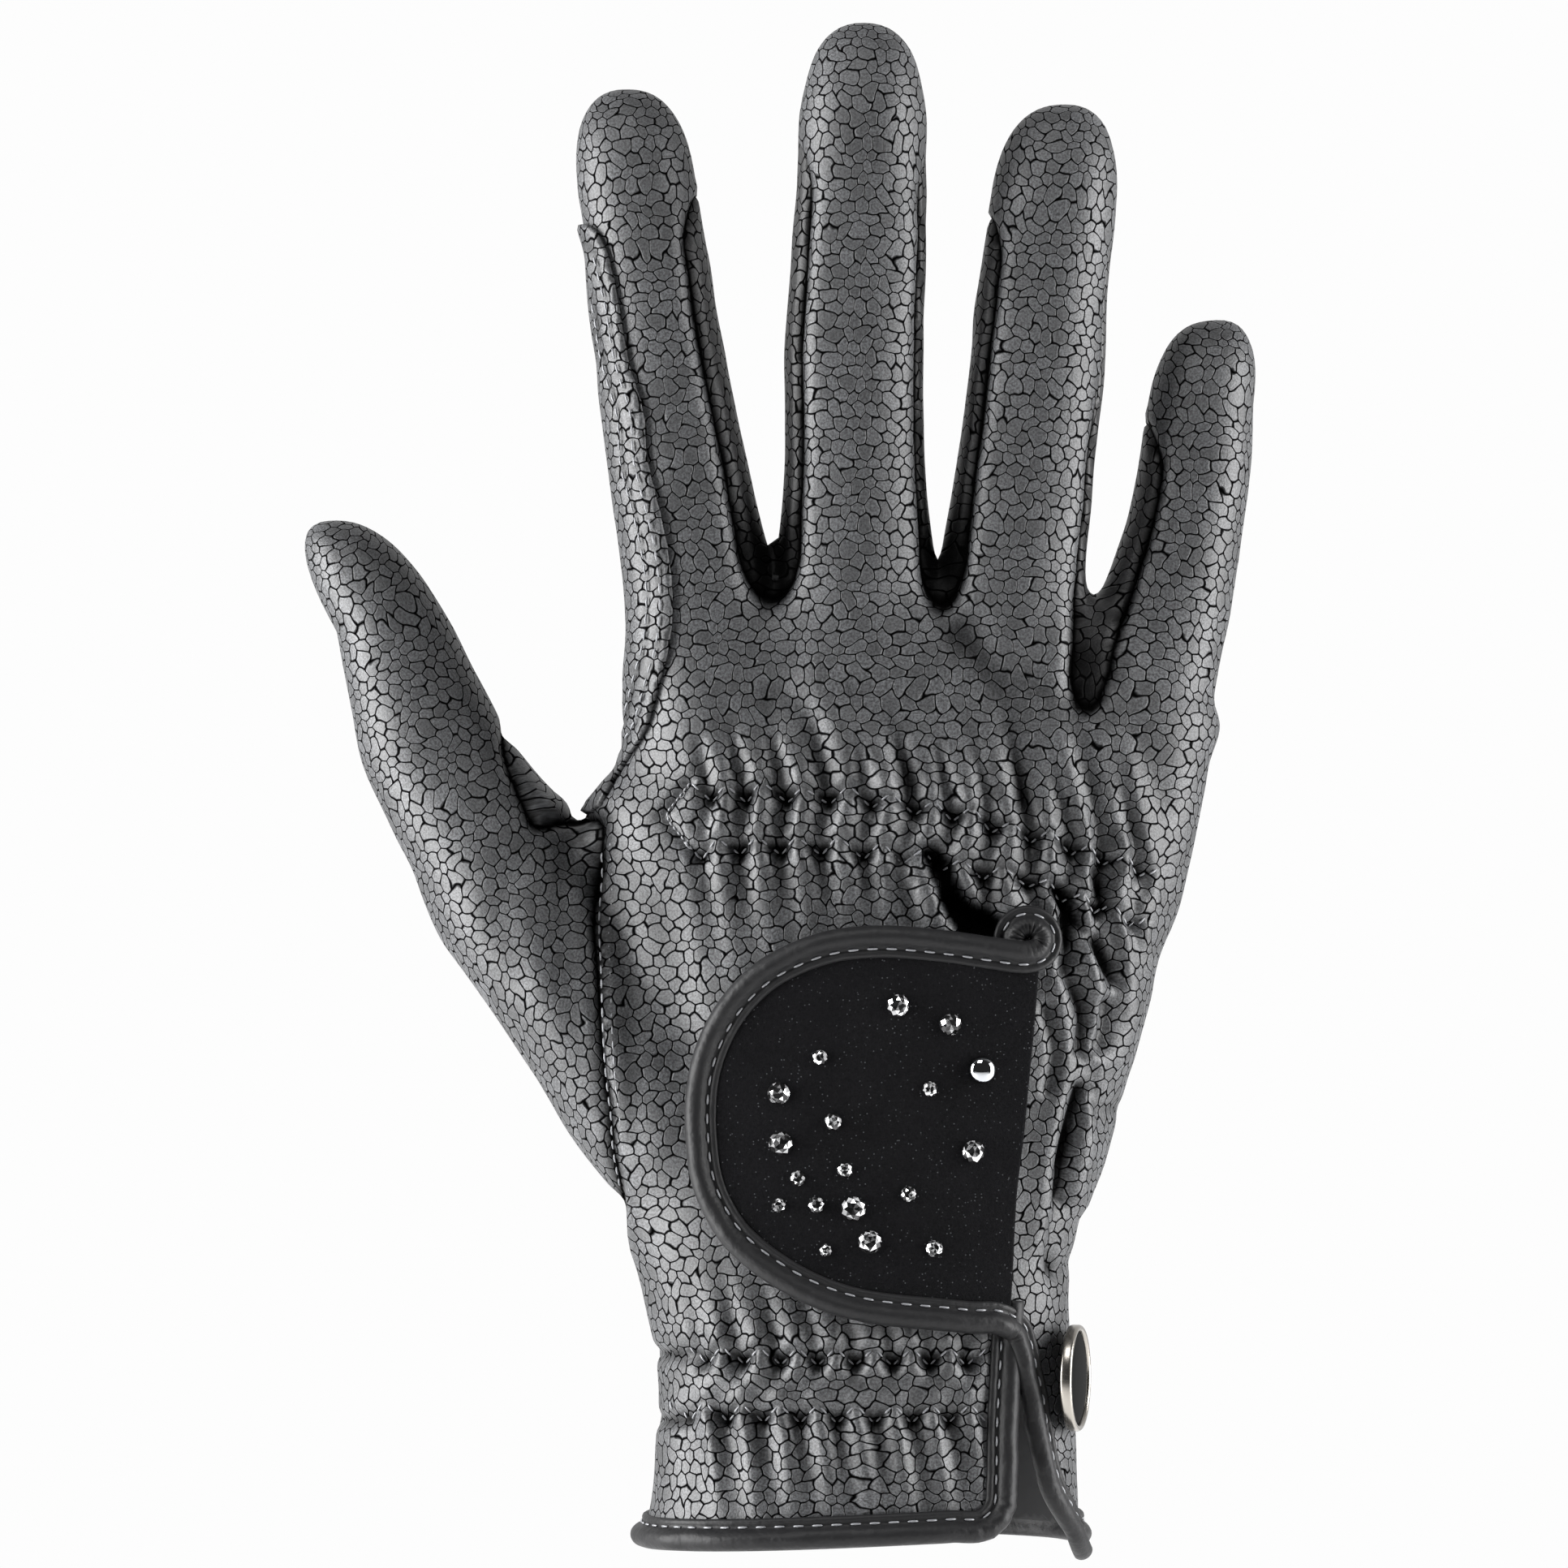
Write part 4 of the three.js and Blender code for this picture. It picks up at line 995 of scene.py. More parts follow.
def flat_pattern(points, faces, names):
    """Flat coordinates of every face corner, blended between the named tubes by nearness."""
    distance = np.stack([tube_distance(TUBES[name], points) for name in names])
    weight = np.exp(-(distance - distance.min(axis=0)) / CHART_BLEND)
    weight /= weight.sum(axis=0)
    low = np.minimum(points[:, 2], SHEET_TOP)
    hand_x, _, hand_half, hand_depth = section(TUBES["hand"], low)
    quarter = arc_length(np.full_like(low, np.pi / 2), hand_half, hand_depth)
    sheet = 2 * (hand_x + quarter)
    back_side = np.zeros((len(points), 2))
    palm_side = np.zeros((len(points), 2))
    turned = np.zeros(len(points))
    for share, name in zip(weight, names):
        back_part, palm_part, turned_part = tube_chart(TUBES[name], points)
        back_side += share[:, None] * back_part
        palm_side += share[:, None] * palm_part
        turned += share * turned_part
    palm_side[:, 0] += sheet
    on_palm = turned[faces].mean(axis=1) > 0
    return np.where(on_palm[:, None, None], palm_side[faces], back_side[faces])


# For a face with 0 to 3 cut edges: whether its first corner's edge is cut, and the faces that
# replace it, from its corners 0 to 2 and the middles 3 to 5 of the edges that follow them
SPLITS = [
    (False, [(0, 1, 2)]),
    (True, [(0, 3, 2), (3, 1, 2)]),
    (False, [(0, 1, 4), (0, 4, 5), (4, 2, 5)]),
    (True, [(0, 3, 5), (1, 4, 3), (2, 5, 4), (3, 4, 5)]),
]


def refine(points, faces, normals, chosen):
    """Cuts every edge of the chosen faces in two, once, and their neighbours to match."""
    edges = np.sort(np.stack([faces, np.roll(faces, -1, axis=1)], axis=-1), axis=-1)
    unique = np.unique(edges[chosen].reshape(-1, 2), axis=0)
    key = unique[:, 0].astype(np.int64) * len(points) + unique[:, 1]
    edge_key = edges[..., 0].astype(np.int64) * len(points) + edges[..., 1]
    at = np.clip(np.searchsorted(key, edge_key), 0, len(key) - 1)
    has = key[at] == edge_key
    parts = []
    for count, (front, pattern) in enumerate(SPLITS):
        group = has.sum(axis=1) == count
        order = rolled(has[group], front)
        corners = [np.take_along_axis(table[group], order, axis=1)
                   for table in (faces, len(points) + at)]
        parts.append(np.concatenate(corners, axis=1)[:, pattern].reshape(-1, 3))
    return (np.concatenate([points, points[unique].mean(axis=1)]), np.concatenate(parts),
            np.concatenate([normals, unit(normals[unique].mean(axis=1))]))


flat_test = flat_pattern(skin_points, skin_faces[:2], ("hand", "index"))
print("flat coordinates of two faces:", flat_test.shape)

# %% [markdown]
# ## Leather
#
# The glove's leather is a synthetic one, embossed by a hot roller with lizard scales about 2.3 mm
# across. Each scale is a flat, slightly shiny plate with fine pale specks, and the grooves
# between them are matt and nearly black, so the eye reads the grain even where nothing shines.

# %% Leather materials
# All in millimetres: a scale's width, the sizes of the two noises that distort the net and how
# far each moves it, and the sizes of the specks and of the clouds of tone
CELL = 2.25
DRIFT_SIZE, DRIFT = 7.0, 2.6
RIPPLE_SIZE, RIPPLE = 2.6, 1.35
SPECK_SIZE, CLOUD_SIZE = 0.36, 16.0
# Flat coordinates for each millimetre
FLAT_UNIT = 0.01
# In shares of a cell: from a groove to its plate, from a corner to the plate, and the rim with
# painted highlight
WALL = (0.487, 0.420)
CORNER = (0.555, 0.475)
RIM_HIGHLIGHT_SPAN = (0.30, 0.42)
# How much paler the rim's painted highlight is, the noise that shows as specks, and the darkest
# and palest cell
RIM_HIGHLIGHT_GAIN = 0.55
SPECKS = (0.34, 0.68)
TONES = (0.34, 1.5)
# The finish of grooves and plates, and how deep the bumps are, in metres
GROOVE_ROUGH, PLATE_ROUGH, PLATE_GLOSS = 0.85, 0.5, 0.42
SCALE_DEPTH, GRAIN_DEPTH = 0.00034, 0.00006
# The grooves' own colour, and the colour painted as shade deep in folds and seams
GROOVE_COLOUR, FOLD_SHADE_COLOUR = "020202", "030303"


def cell_net(tree, place):
    """Six-sided cells one unit wide: the distance from the nearest cell's middle, the distance
    from it towards its nearest wall, and a place that is the cell's own."""
    pitch = np.array([1.0, math.sqrt(3), 1.0])
    nearest = []
    for source in (place, vector(tree, "SUBTRACT", place, pitch / 2)):
        wrapped = vector(tree, "WRAP", source, pitch / 2, -pitch / 2)
        level = vector(tree, "MULTIPLY", wrapped, (1.0, 1.0, 0.0))
        nearest.append((level, vector(tree, "LENGTH", level)))
    (first, first_length), (second, second_length) = nearest
    nearer = number(tree, "LESS_THAN", first_length, second_length)
    apart = vector(tree, "SUBTRACT", first, second)
    offset = vector(tree, "MULTIPLY_ADD", apart, nearer, second)
    folded = vector(tree, "ABSOLUTE", offset)
    walls = [vector(tree, "DOT_PRODUCT", folded, facing)
             for facing in ((1.0, 0.0, 0.0), (0.5, math.sqrt(3) / 2, 0.0))]
    # Moved a little off the middle, so that rounding never puts it in the wrong cell
    middle = vector(tree, "ADD", vector(tree, "SUBTRACT", place, offset), (0.2, 0.2, 0.0))
    return (number(tree, "MINIMUM", first_length, second_length),
            number(tree, "MAXIMUM", *walls), vector(tree, "SNAP", middle, pitch / 2))


def embossed_leather(name, plate, groove):
    """Scales from a net of six-sided cells in the flat coordinates, which two sizes of noise
    distort: a groove along each cell's edge, rounded corners by the distance from the cell's
    middle, a paler rim as a painted highlight, a tone of its own for each cell, specks by fine
    noise, and painted shade deep in folds and seams."""
    material, tree, shader = new_material(name, plate, Roughness=0.5)
    flat = add(tree, "UVMap", uv_map="flat").outputs["UV"]

    def flat_noise(size, detail, **settings):
        """Noise in the flat coordinates, with lumps of this size in millimetres."""
        return lumps(tree, flat, size * FLAT_UNIT, detail, noise_dimensions="2D",
                     **settings).outputs

    centred = vector(tree, "SUBTRACT", flat_noise(DRIFT_SIZE, 1.0)["Color"], (0.5, 0.5, 0.5))
    moved = vector(tree, "MULTIPLY_ADD", centred, (DRIFT * FLAT_UNIT,) * 3, flat)
    ripple = flat_noise(RIPPLE_SIZE, 0.0)["Color"]
    moved = vector(tree, "MULTIPLY_ADD", ripple, (RIPPLE * FLAT_UNIT,) * 3, moved)
    per_cell = 1 / (CELL * FLAT_UNIT)
    place = vector(tree, "MULTIPLY", moved, (per_cell, per_cell, 0.0))
    radius, across, own = cell_net(tree, place)
    wall = ranged(tree, across, *WALL, smooth=True)
    height = number(tree, "MULTIPLY", wall, ranged(tree, radius, *CORNER, smooth=True))
    tone = add(tree, "TexWhiteNoise", {"Vector": own}, noise_dimensions="2D").outputs["Value"]
    # Painted highlight: the rim of each plate is made paler
    tone = number(tree, "ADD", tone, ranged(tree, across, *RIM_HIGHLIGHT_SPAN, high=RIM_HIGHLIGHT_GAIN))
    tone = number(tree, "ADD", tone, flat_noise(CLOUD_SIZE, 2.0)["Fac"])
    speck = flat_noise(SPECK_SIZE, 3.0, Roughness=0.65)["Fac"]
    tint = mixed(tree, ranged(tree, speck, *SPECKS), linear(groove), linear(plate))
    value = ranged(tree, tone, 0.0, 2.0, *TONES)
    shaded = add(tree, "HueSaturation", {"Color": tint, "Value": value}).outputs[0]
    colour = mixed(tree, height, linear(GROOVE_COLOUR), shaded)
    # Painted shade: an attribute darkens the colour deep in folds and seams, and takes the plates'
    # gloss away there
    fold_shade = add(tree, "Attribute", attribute_name="fold_shade").outputs["Fac"]
    lit = number(tree, "MULTIPLY", height, number(tree, "SUBTRACT", 1.0, fold_shade))
    feed(tree, shader,
         Base_Color=mixed(tree, fold_shade, colour, linear(FOLD_SHADE_COLOUR)),
         Roughness=ranged(tree, height, 0.0, 1.0, GROOVE_ROUGH, PLATE_ROUGH),
         Specular_IOR_Level=number(tree, "MULTIPLY", lit, PLATE_GLOSS),
         Normal=raised(tree, height, SCALE_DEPTH, raised(tree, speck, GRAIN_DEPTH)))
    return material


LEATHER = embossed_leather("embossed_scale_leather", "404143", "111112")
# The same leather made darker for the strips between the fingers: painted shade where the fingers
# keep the light out
SHADED_STRIP_LEATHER = embossed_leather("shade_painted_scale_leather", "252526", "0b0b0c")
# Brushed knit on the leather's inner side, dyed black; it swallows light inside the cuff
INSIDE = new_material("brushed_knit_backing", "141415", Roughness=1.0)[0]
print("leather with scales of", CELL, "mm")

# %% [markdown]
# ## The leather pieces
#
# Every piece is trimmed from the skin, gets its relief and rolled seams, and is thickened inwards.
# What lies deep in a fold or a seam is darkened in its colour, as painted shade.

# %% Leather pieces
LEATHER_THICKNESS = 1.3
# Over these depths in millimetres a fold or a seam goes from plain to dark with painted shade
FOLD_SHADE_DEPTHS = (0.25, 1.7)
SEAM_SHADE_DEPTHS = (0.1, 0.75)
# Where each sheet starts on the flat pattern, so that neighbouring pieces don't match
STRIP_SHIFT = (37, 11)
PATCH_SHIFT = (19, 53)
# Where ribs and folds need a finer net: left and low, then right and high corners, from the front
GATHER_BOXES = [((-31, 106), (48, 124)), ((-34, 8), (20, 42)), ((14, 60), (50, 106))]


def gathered(points, faces):
    """Faces in the places where the ribs need a finer net."""
    x, y, z = points[faces].mean(axis=1).T
    inside = [(x > left) & (x < right) & (z > low) & (z < high)
              for (left, low), (right, high) in GATHER_BOXES]
    return np.any(inside, axis=0) & (y < 0)


def leather_piece(name, mesh, seams, names, node, material=LEATHER, offset=0.0, shift=(0, 0),
                  dark=None):
    """Builds a glove panel: relief, the heights that its seams add, flat coordinates moved by
    shift, a value that paints shade on what lies deep in folds and seams, and thickness. seams
    is a list of functions of points and normals that give a height in millimetres, and dark one
    of points that gives more places for painted shade, from 0 to 1."""
    points, normals, faces = mesh["points"], mesh["normals"], mesh["faces"]
    form = relief(points, normals)
    # Painted shade deep in folds and seams, stored on the points for the leather's colour
    shade = step_up(-form, *FOLD_SHADE_DEPTHS)
    if dark:
        shade = np.maximum(shade, dark(points))
    for seam in seams:
        roll = seam(points, normals)
        shade = np.maximum(shade, step_up(-roll, *SEAM_SHADE_DEPTHS))
        form = form + roll
    corners = flat_pattern(points, faces, names) + shift
    shape = mesh_from(name, points + normals * (form + offset)[:, None], faces)
    layer = shape.uv_layers.new(name="flat")
    layer.data.foreach_set("uv", (corners.reshape(-1, 2) * FLAT_UNIT).astype(np.float32).ravel())
    fold_shade = shape.attributes.new("fold_shade", "FLOAT", "POINT")
    fold_shade.data.foreach_set("value", shade.astype(np.float32))
    finished(name, shape, (material, INSIDE), (node,), LEATHER_THICKNESS)


def finished(name, shape, materials, nodes, thickness=0):
    """Puts a mesh in the scene with smooth shading, its materials and its place in the part. A
    sheet is thickened inwards, in millimetres."""
    shape.polygons.foreach_set("use_smooth", np.ones(len(shape.polygons), bool))
    for material in materials:
        shape.materials.append(material)
    piece = bpy.data.objects.new(name, shape)
    bpy.context.scene.collection.objects.link(piece)
    if thickness:
        wall = piece.modifiers.new("thickness", "SOLIDIFY")
        wall.thickness = thickness * MM
        wall.offset = -1
        wall.material_offset = len(materials) - 1
    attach(piece, "root")
    if nodes:
        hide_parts(*nodes)


def on_surface(value, normals):
    """Turns a distance seen from the front into one along the skin."""
    return value / np.sqrt(np.maximum(1 - normals[:, 0] ** 2, 0.04))


def strip_seam(strip):
    """The height that a finger strip's seams add, fading out below the fingertips."""
    tip = min(TUBES[name]["top"] for name in strip["pair"])
    return lambda p, n: step_up(tip - p[:, 2], 7, 22) * seam_roll(
        on_surface(strip_value(strip, p[:, 0], p[:, 2]), n))


def root_shadow(strip):
    """How dark a strip's lower end is, where the fingers shut the light out."""
    return lambda p: 0.9 * step_up(-p[:, 2], -strip["bottom"] - 20, -strip["bottom"] - 7)


def thumb_line(points, normals):
    """The height that the thumb's seam adds."""
    return seam_roll(line_distance(THUMB_SEAM, points[:, 0], points[:, 2]))


FINGERS = ("hand", "index", "middle", "ring", "little")
fine = gathered(hand["points"], hand["faces"])
hand_fine = dict(zip(("points", "faces", "normals"),
                     refine(hand["points"], hand["faces"], hand["normals"], fine)))
leather_piece("hand_panel", hand_fine, [thumb_line] + [strip_seam(s) for s in STRIPS.values()],
              FINGERS, "hand_piece")
leather_piece("thumb_panel", thumb, [thumb_line], ("thumb",), "thumb_piece")
for strip_name, strip in STRIPS.items():
    leather_piece("side_strip_" + strip_name, strips[strip_name], [strip_seam(strip)],
                  FINGERS, "fourchette_" + strip_name, SHADED_STRIP_LEATHER, shift=STRIP_SHIFT,
                  dark=root_shadow(strip))
print("hand panel triangles:", 2 * len(hand_fine["faces"]))

# %% [markdown]
# ## Rein patch
#
# A second layer covers the index finger's outer side, where a rein runs. It is the same skin,
# trimmed along the patch's edge and set one layer further out, so its edge casts a thin shadow.

# %% Rein patch
PATCH_EDGE = curve(from_photo([
    (660, 1004), (724, 1000), (738, 992), (751, 975), (770, 942), (797, 904), (816, 844),
    (828, 801), (832, 745), (828, 698), (814, 622), (802, 574), (795, 507), (778, 450), (766, 383),
    (759, 344), (749, 306), (733, 279), (690, 272),
]), 1.5)
PATCH_LIFT = 1.15
PATCH_LEFT = -43.6
# The rows of stitches, in millimetres inside the patch's edge, and how deep and wide the edge and
# the rows pull in
PATCH_ROWS = (1.6, 3.4)
EDGE_DIP, ROW_DIP, DIP_WIDTH = 0.35, 0.4, 0.5


def patch_value(points):
    """Negative on the patch: left of its edge, but not on the thumb."""
    x, _, z = points.T
    return np.maximum(line_distance(PATCH_EDGE, x, z), PATCH_LEFT - x)


def patch_roll(points, normals):
    """The patch's raw edge curls down to the leather under it, and two rows of stitches pull it
    in a little inside the edge."""
    inside = patch_value(points)
    rows = sum(bump(inside + row, DIP_WIDTH) for row in PATCH_ROWS)
    return -EDGE_DIP * bump(inside, DIP_WIDTH) - ROW_DIP * rows


patch = cut(hand, patch_value)
leather_piece("rein_patch", patch, [patch_roll], FINGERS, "index_patch", offset=PATCH_LIFT,
              shift=PATCH_SHIFT)
print("patch triangles", 2 * len(patch["faces"]))

# %% [markdown]
# ## Sweeping a profile along a line on the skin
#
# Binding is a strip of soft leather folded over an edge. Its section is a roll, a groove with the
# stitches, and a narrow flat lip. The section is swept along the edge, standing on the skin.

# %% Sweeps
def frames_along(points, normals):
    """Directions along and across a path, with across to the right as seen from outside."""
    along = unit(np.gradient(points, axis=0))
    across = unit(np.cross(along, normals))
    return along, across, unit(np.cross(across, along))


def sweep(name, points, normals, profile, shift):
    """A closed band: the profile's points (across, up) at every place of the path, closed at both
    ends. shift moves each point up, in millimetres."""
    _, across, up = frames_along(points, normals)
    grid = (
        points[:, None]
        + across[:, None] * profile[None, :, :1]
        + up[:, None] * (profile[:, 1] + shift)[..., None]
    )
    return mesh_from(name, *closed_grid(grid))


def rounded(points, count):
    """A closed outline of evenly spread points through the listed ones."""
    table = np.array(points + points[:3], float)
    smooth = curve(table, 0.02)
    half = len(smooth) // 2
    start = np.argmin(np.linalg.norm(smooth[:half] - table[1], axis=1))
    stop = half + np.argmin(np.linalg.norm(smooth[half:] - table[-2], axis=1))
    return smooth[np.linspace(start, stop, count + 1).astype(int)][:-1]


# Across and up, in millimetres, from the stitch line; the roll is on the left of the path
BINDING_PROFILE = rounded([
    (-3.35, 0.0), (-3.6, 0.9), (-3.3, 1.75), (-2.6, 2.35), (-1.7, 2.5), (-0.85, 2.05),
    (-0.3, 1.3), (0.1, 1.0), (0.5, 1.25), (0.95, 1.28), (1.28, 0.95), (1.3, 0.35), (0.9, -0.1),
    (-1.2, -0.25),
], 40)


# A stitch further off the skin than this, in millimetres, has no leather under it
STITCH_REACH = 2.7


def stitches(name, points, normals, pitch, length, radius):
    """Thread showing as short arched spindles, one every pitch along a path on the surface."""
    along = along_line(points)
    middles = np.arange(pitch / 2, along[-1], pitch)
    middles = middles[glove_distance(at_lengths(points, along, middles)) < STITCH_REACH]
    ways = [unit(at_lengths(way, along, middles)) for way in frames_along(points, normals)]
    spindles(name, at_lengths(points, along, middles), *ways, length, radius)


def spindles(name, place, tangent, side, up, length, radius):
    """One spindle at each place: rings of six points that close to a point at both ends."""
    share = np.array([-1.0, -0.72, 0.0, 0.72, 1.0])
    width = np.array([0.0, 0.85, 1.0, 0.85, 0.0])
    arch = 0.9 * (1 - share**2) - 0.5
    angle = np.arange(6) * np.pi / 3
    rings = np.stack([
        np.broadcast_to(share[:, None], (5, 6)),
        width[:, None] * np.cos(angle),
        arch[:, None] + width[:, None] * np.sin(angle),
    ], axis=-1) * (length / 2, radius, radius)
    local, faces = closed_grid(rings[1:-1], rings[[0, -1], 0])
    everywhere = place[:, None] + local @ np.stack([tangent, side, up], axis=1)
    first = np.arange(len(place))[:, None, None] * len(local)
    shape = mesh_from(name, everywhere.reshape(-1, 3), (faces[None] + first).reshape(-1, 3))
    finished(name, shape, (THREAD,), ())


def offset_line(line, distance):
    """A line in the front view moved to its right by a distance."""
    direction = unit(np.gradient(line, axis=0))
    return line + distance * np.stack([direction[:, 1], -direction[:, 0]], axis=1)


# Polyester sewing thread, waxed: dark grey, with a thin bright line where it catches light
THREAD = new_material("waxed_thread", "626366", Roughness=0.4)[0]
print("binding profile", BINDING_PROFILE.shape)

# %% [markdown]
# ## Smooth leather and binding
#
# The binding is a thin plain leather, finely grained, with a soft satin shine. One strip comes up
# the vent's far edge, runs round the tab and ends in a curl; another follows the wrist opening
# and turns up the vent's near edge.

# %% Binding
def smooth_leather(name, colour):
    """Plain finished leather: a fine grain over soft creases, and a satin surface."""
    material, tree, shader = new_material(name, colour, Roughness=0.5, Specular_IOR_Level=0.16)
    place = add(tree, "TexCoord").outputs["Object"]
    fine = raised(tree, lumps(tree, place, 0.0007, 3.0).outputs["Fac"], 0.00009)
    creases = lumps(tree, place, 0.004, 2.0).outputs["Fac"]
    feed(tree, shader, Normal=raised(tree, creases, 0.0004, fine))
    return material


BINDING = smooth_leather("smooth_calf_binding", "111112")
TAB_OUTLINE = curve(from_photo([
    (1227, 1635), (1191, 1633), (1146, 1628), (1102, 1624), (1057, 1617), (1012, 1604),
    (968, 1583), (932, 1559), (901, 1532), (876, 1496), (858, 1452), (851, 1407), (850, 1354),
    (858, 1304), (874, 1260), (901, 1217), (935, 1184), (974, 1162), (1017, 1147), (1080, 1140),
    (1146, 1144), (1227, 1155),
]), 1.0)
# From the binding's outer edge to its stitches, and the stitch line's height over the skin
ROLL_WIDTH = 3.5
TAB_LIFT = 1.3
PUCKER_PITCH, PUCKER_DEPTH = 1.15, 0.34
DENT_SIZE, DENT_DEPTH = 3.2, 0.16
CURL = from_photo([(1261, 1155)])[0]
CURL_RADIUS = 3.75
VENT_FAR = from_photo([
    (1326, 1892), (1314, 1858), (1297, 1825), (1280, 1753), (1272, 1704), (1266, 1680),
    (1259, 1648), (1250, 1624),
])
curl_angle = np.radians(np.arange(-78, 206, 12.0))
curl_line = CURL + CURL_RADIUS * np.stack([np.cos(curl_angle), np.sin(curl_angle)], axis=1)
tab_line = offset_line(TAB_OUTLINE, ROLL_WIDTH)
route = np.concatenate([
    np.column_stack([VENT_FAR, np.linspace(0.0, 0.6, len(VENT_FAR))]),
    np.column_stack([tab_line[1:-1:4], np.full(len(tab_line[1:-1:4]), TAB_LIFT)]),
    np.column_stack([curl_line, np.linspace(TAB_LIFT, -0.4, len(curl_line))]),
])
route = curve(route, 0.45)
route_skin, route_normals = on_back(route[:, 0], route[:, 1])
route_points = route_skin + route_normals * route[:, 2:]


def tightness(line):
    """How sharply a line turns, from 0 where straight to 1 on a radius of about 4 mm."""
    direction = unit(np.gradient(line, axis=0))
    turn = np.linalg.norm(np.gradient(direction, axis=0), axis=1)
    step = np.linalg.norm(np.gradient(line, axis=0), axis=1)
    smooth = np.convolve(np.pad(turn / step, 6, "edge"), np.ones(13) / 13, "valid")
    return step_up(smooth, 0.10, 0.20)


def binding_shift(line, profile, side):
    """Small dents all along, and puckers on the roll where the path turns tightly. side is 1 for
    a roll on the left of the path, and -1 on the right."""
    along = along_line(line)
    wave = np.sin(2 * np.pi * along / PUCKER_PITCH + 1.3 * np.sin(along))
    roll = step_up(side * -profile[:, 0], 0.6, 1.8)
    dents = DENT_DEPTH * noise(line + [0, 0, 40.0], DENT_SIZE)[:, None]
    return (dents + PUCKER_DEPTH * (tightness(line) * wave)[:, None]) * roll


tab_binding = sweep("tab_edge_binding", route_points, route_normals, BINDING_PROFILE,
                    binding_shift(route_points, BINDING_PROFILE, 1))
finished("tab_edge_binding", tab_binding, (BINDING,), ("tab_binding",))

# Height of the hem's stitches, and where round the wrist the strip starts and ends, in radians
HEM_STITCH = 3.9
HEM_TURN = (-0.3, 5.15)
turn = np.linspace(*HEM_TURN, 160)
hem_x, hem_y, hem_half, hem_deep = section(TUBES["hand"], np.full_like(turn, HEM_STITCH))
across, deep = rounded_ring(turn, TUBES["hand"]["power"])
hem_ring = np.stack([hem_x + hem_half * across, hem_y + hem_deep * deep,
                     np.full_like(turn, HEM_STITCH)], axis=1)
hem_ring[:, 2] += hem_rise(hem_ring)
VENT_NEAR = [(18.8, 6.6), (19.8, 8.0), (20.1, 11.0), (20.3, 20.0), (20.8, 30.0), (21.2, 39.0)]
near_skin, _ = on_back(*np.array(VENT_NEAR).T)
hem_path = settle(curve(np.concatenate([hem_ring[::4], near_skin]), 0.6))
hem_normals = unit(gradient(hem_path))
HEM_PROFILE = (BINDING_PROFILE * (-1, 1) + (0, -0.35))[::-1]
hem_mesh = sweep("wrist_hem_binding", hem_path, hem_normals, HEM_PROFILE,
                 binding_shift(hem_path, HEM_PROFILE, -1))
finished("wrist_hem_binding", hem_mesh, (BINDING,), ("hem_binding", "vent_binding"))
# Pitch, length and radius of the bindings' stitches, and how far they lie over each path
EDGE_STITCH = (2.9, 1.7, 0.18)
for stitch_name, path, normals, up in (
    ("tab_edge_stitches", route_points, route_normals, 1.2),
    ("hem_stitches", hem_path, hem_normals, 0.85),
):
    stitches(stitch_name, path + normals * up, normals, *EDGE_STITCH)
print("binding length", round(along_line(route_points)[-1]), "mm")

# %% [markdown]
# ## Closure tab
#
# The tab is microfibre suede: short fibres lie every way, so it has no gloss, only a faint pale
# bloom at grazing angles and single fibres that catch the light.

# %% Closure tab
def suede(name, colour):
    """Microfibre: two sizes of fibre noise, a few fibre ends painted pale as glints, and a soft
    sheen.
    """
    material, tree, shader = new_material(name, colour, Roughness=1.0, Sheen_Weight=0.02,
                                          Sheen_Roughness=0.4, Specular_IOR_Level=0.03)
    place = add(tree, "TexCoord").outputs["Object"]
    fibre = lumps(tree, place, 0.00045, 4.0, Roughness=0.7, Distortion=0.8).outputs["Fac"]
    base = mixed(tree, ranged(tree, fibre, 0.36, 0.66), linear("080809"), linear(colour))
    nap = ranged(tree, lumps(tree, place, 0.006, 2.0).outputs["Fac"], 0.0, 1.0, 0.75, 1.25)
    shaded = add(tree, "HueSaturation", {"Color": base, "Value": nap}).outputs[0]
    # Painted glints: a few fibre ends are made pale in the colour
    tip = add(tree, "TexVoronoi", {"Vector": place}, Scale=1 / 0.0008, Randomness=1.0)
    end = ranged(tree, tip.outputs["Distance"], 0.17, 0.06)
    feed(tree, shader, Base_Color=mixed(tree, end, shaded, linear("3a3b3d")),
         Normal=raised(tree, fibre, 0.00022))
    return material


SUEDE = suede("microfibre_suede", "0e0e0f")
# The suede's height over the skin, in millimetres, and its thickness
SUEDE_TOP = 2.1
SUEDE_THICKNESS = 1.5
TAB_RIGHT = curve(from_photo([
    (1234, 1604), (1243, 1466), (1254, 1380), (1257, 1348), (1265, 1271), (1272, 1190),
]), 0.8)


def filled(left, right, low, high):
    """A grid between four border lines: the mean of the two ways to span them, less the corners
    counted twice. left and right run upwards, low and high run to the right."""
    u = np.linspace(0, 1, len(low))[None, :, None]
    v = np.linspace(0, 1, len(left))[:, None, None]
    spans = (1 - u) * left[:, None] + u * right[:, None] + (1 - v) * low[None] + v * high[None]
    corners = ((1 - u) * (1 - v) * low[0] + u * (1 - v) * low[-1]
               + (1 - u) * v * high[0] + u * v * high[-1])
    return spans - corners


GRID = 130
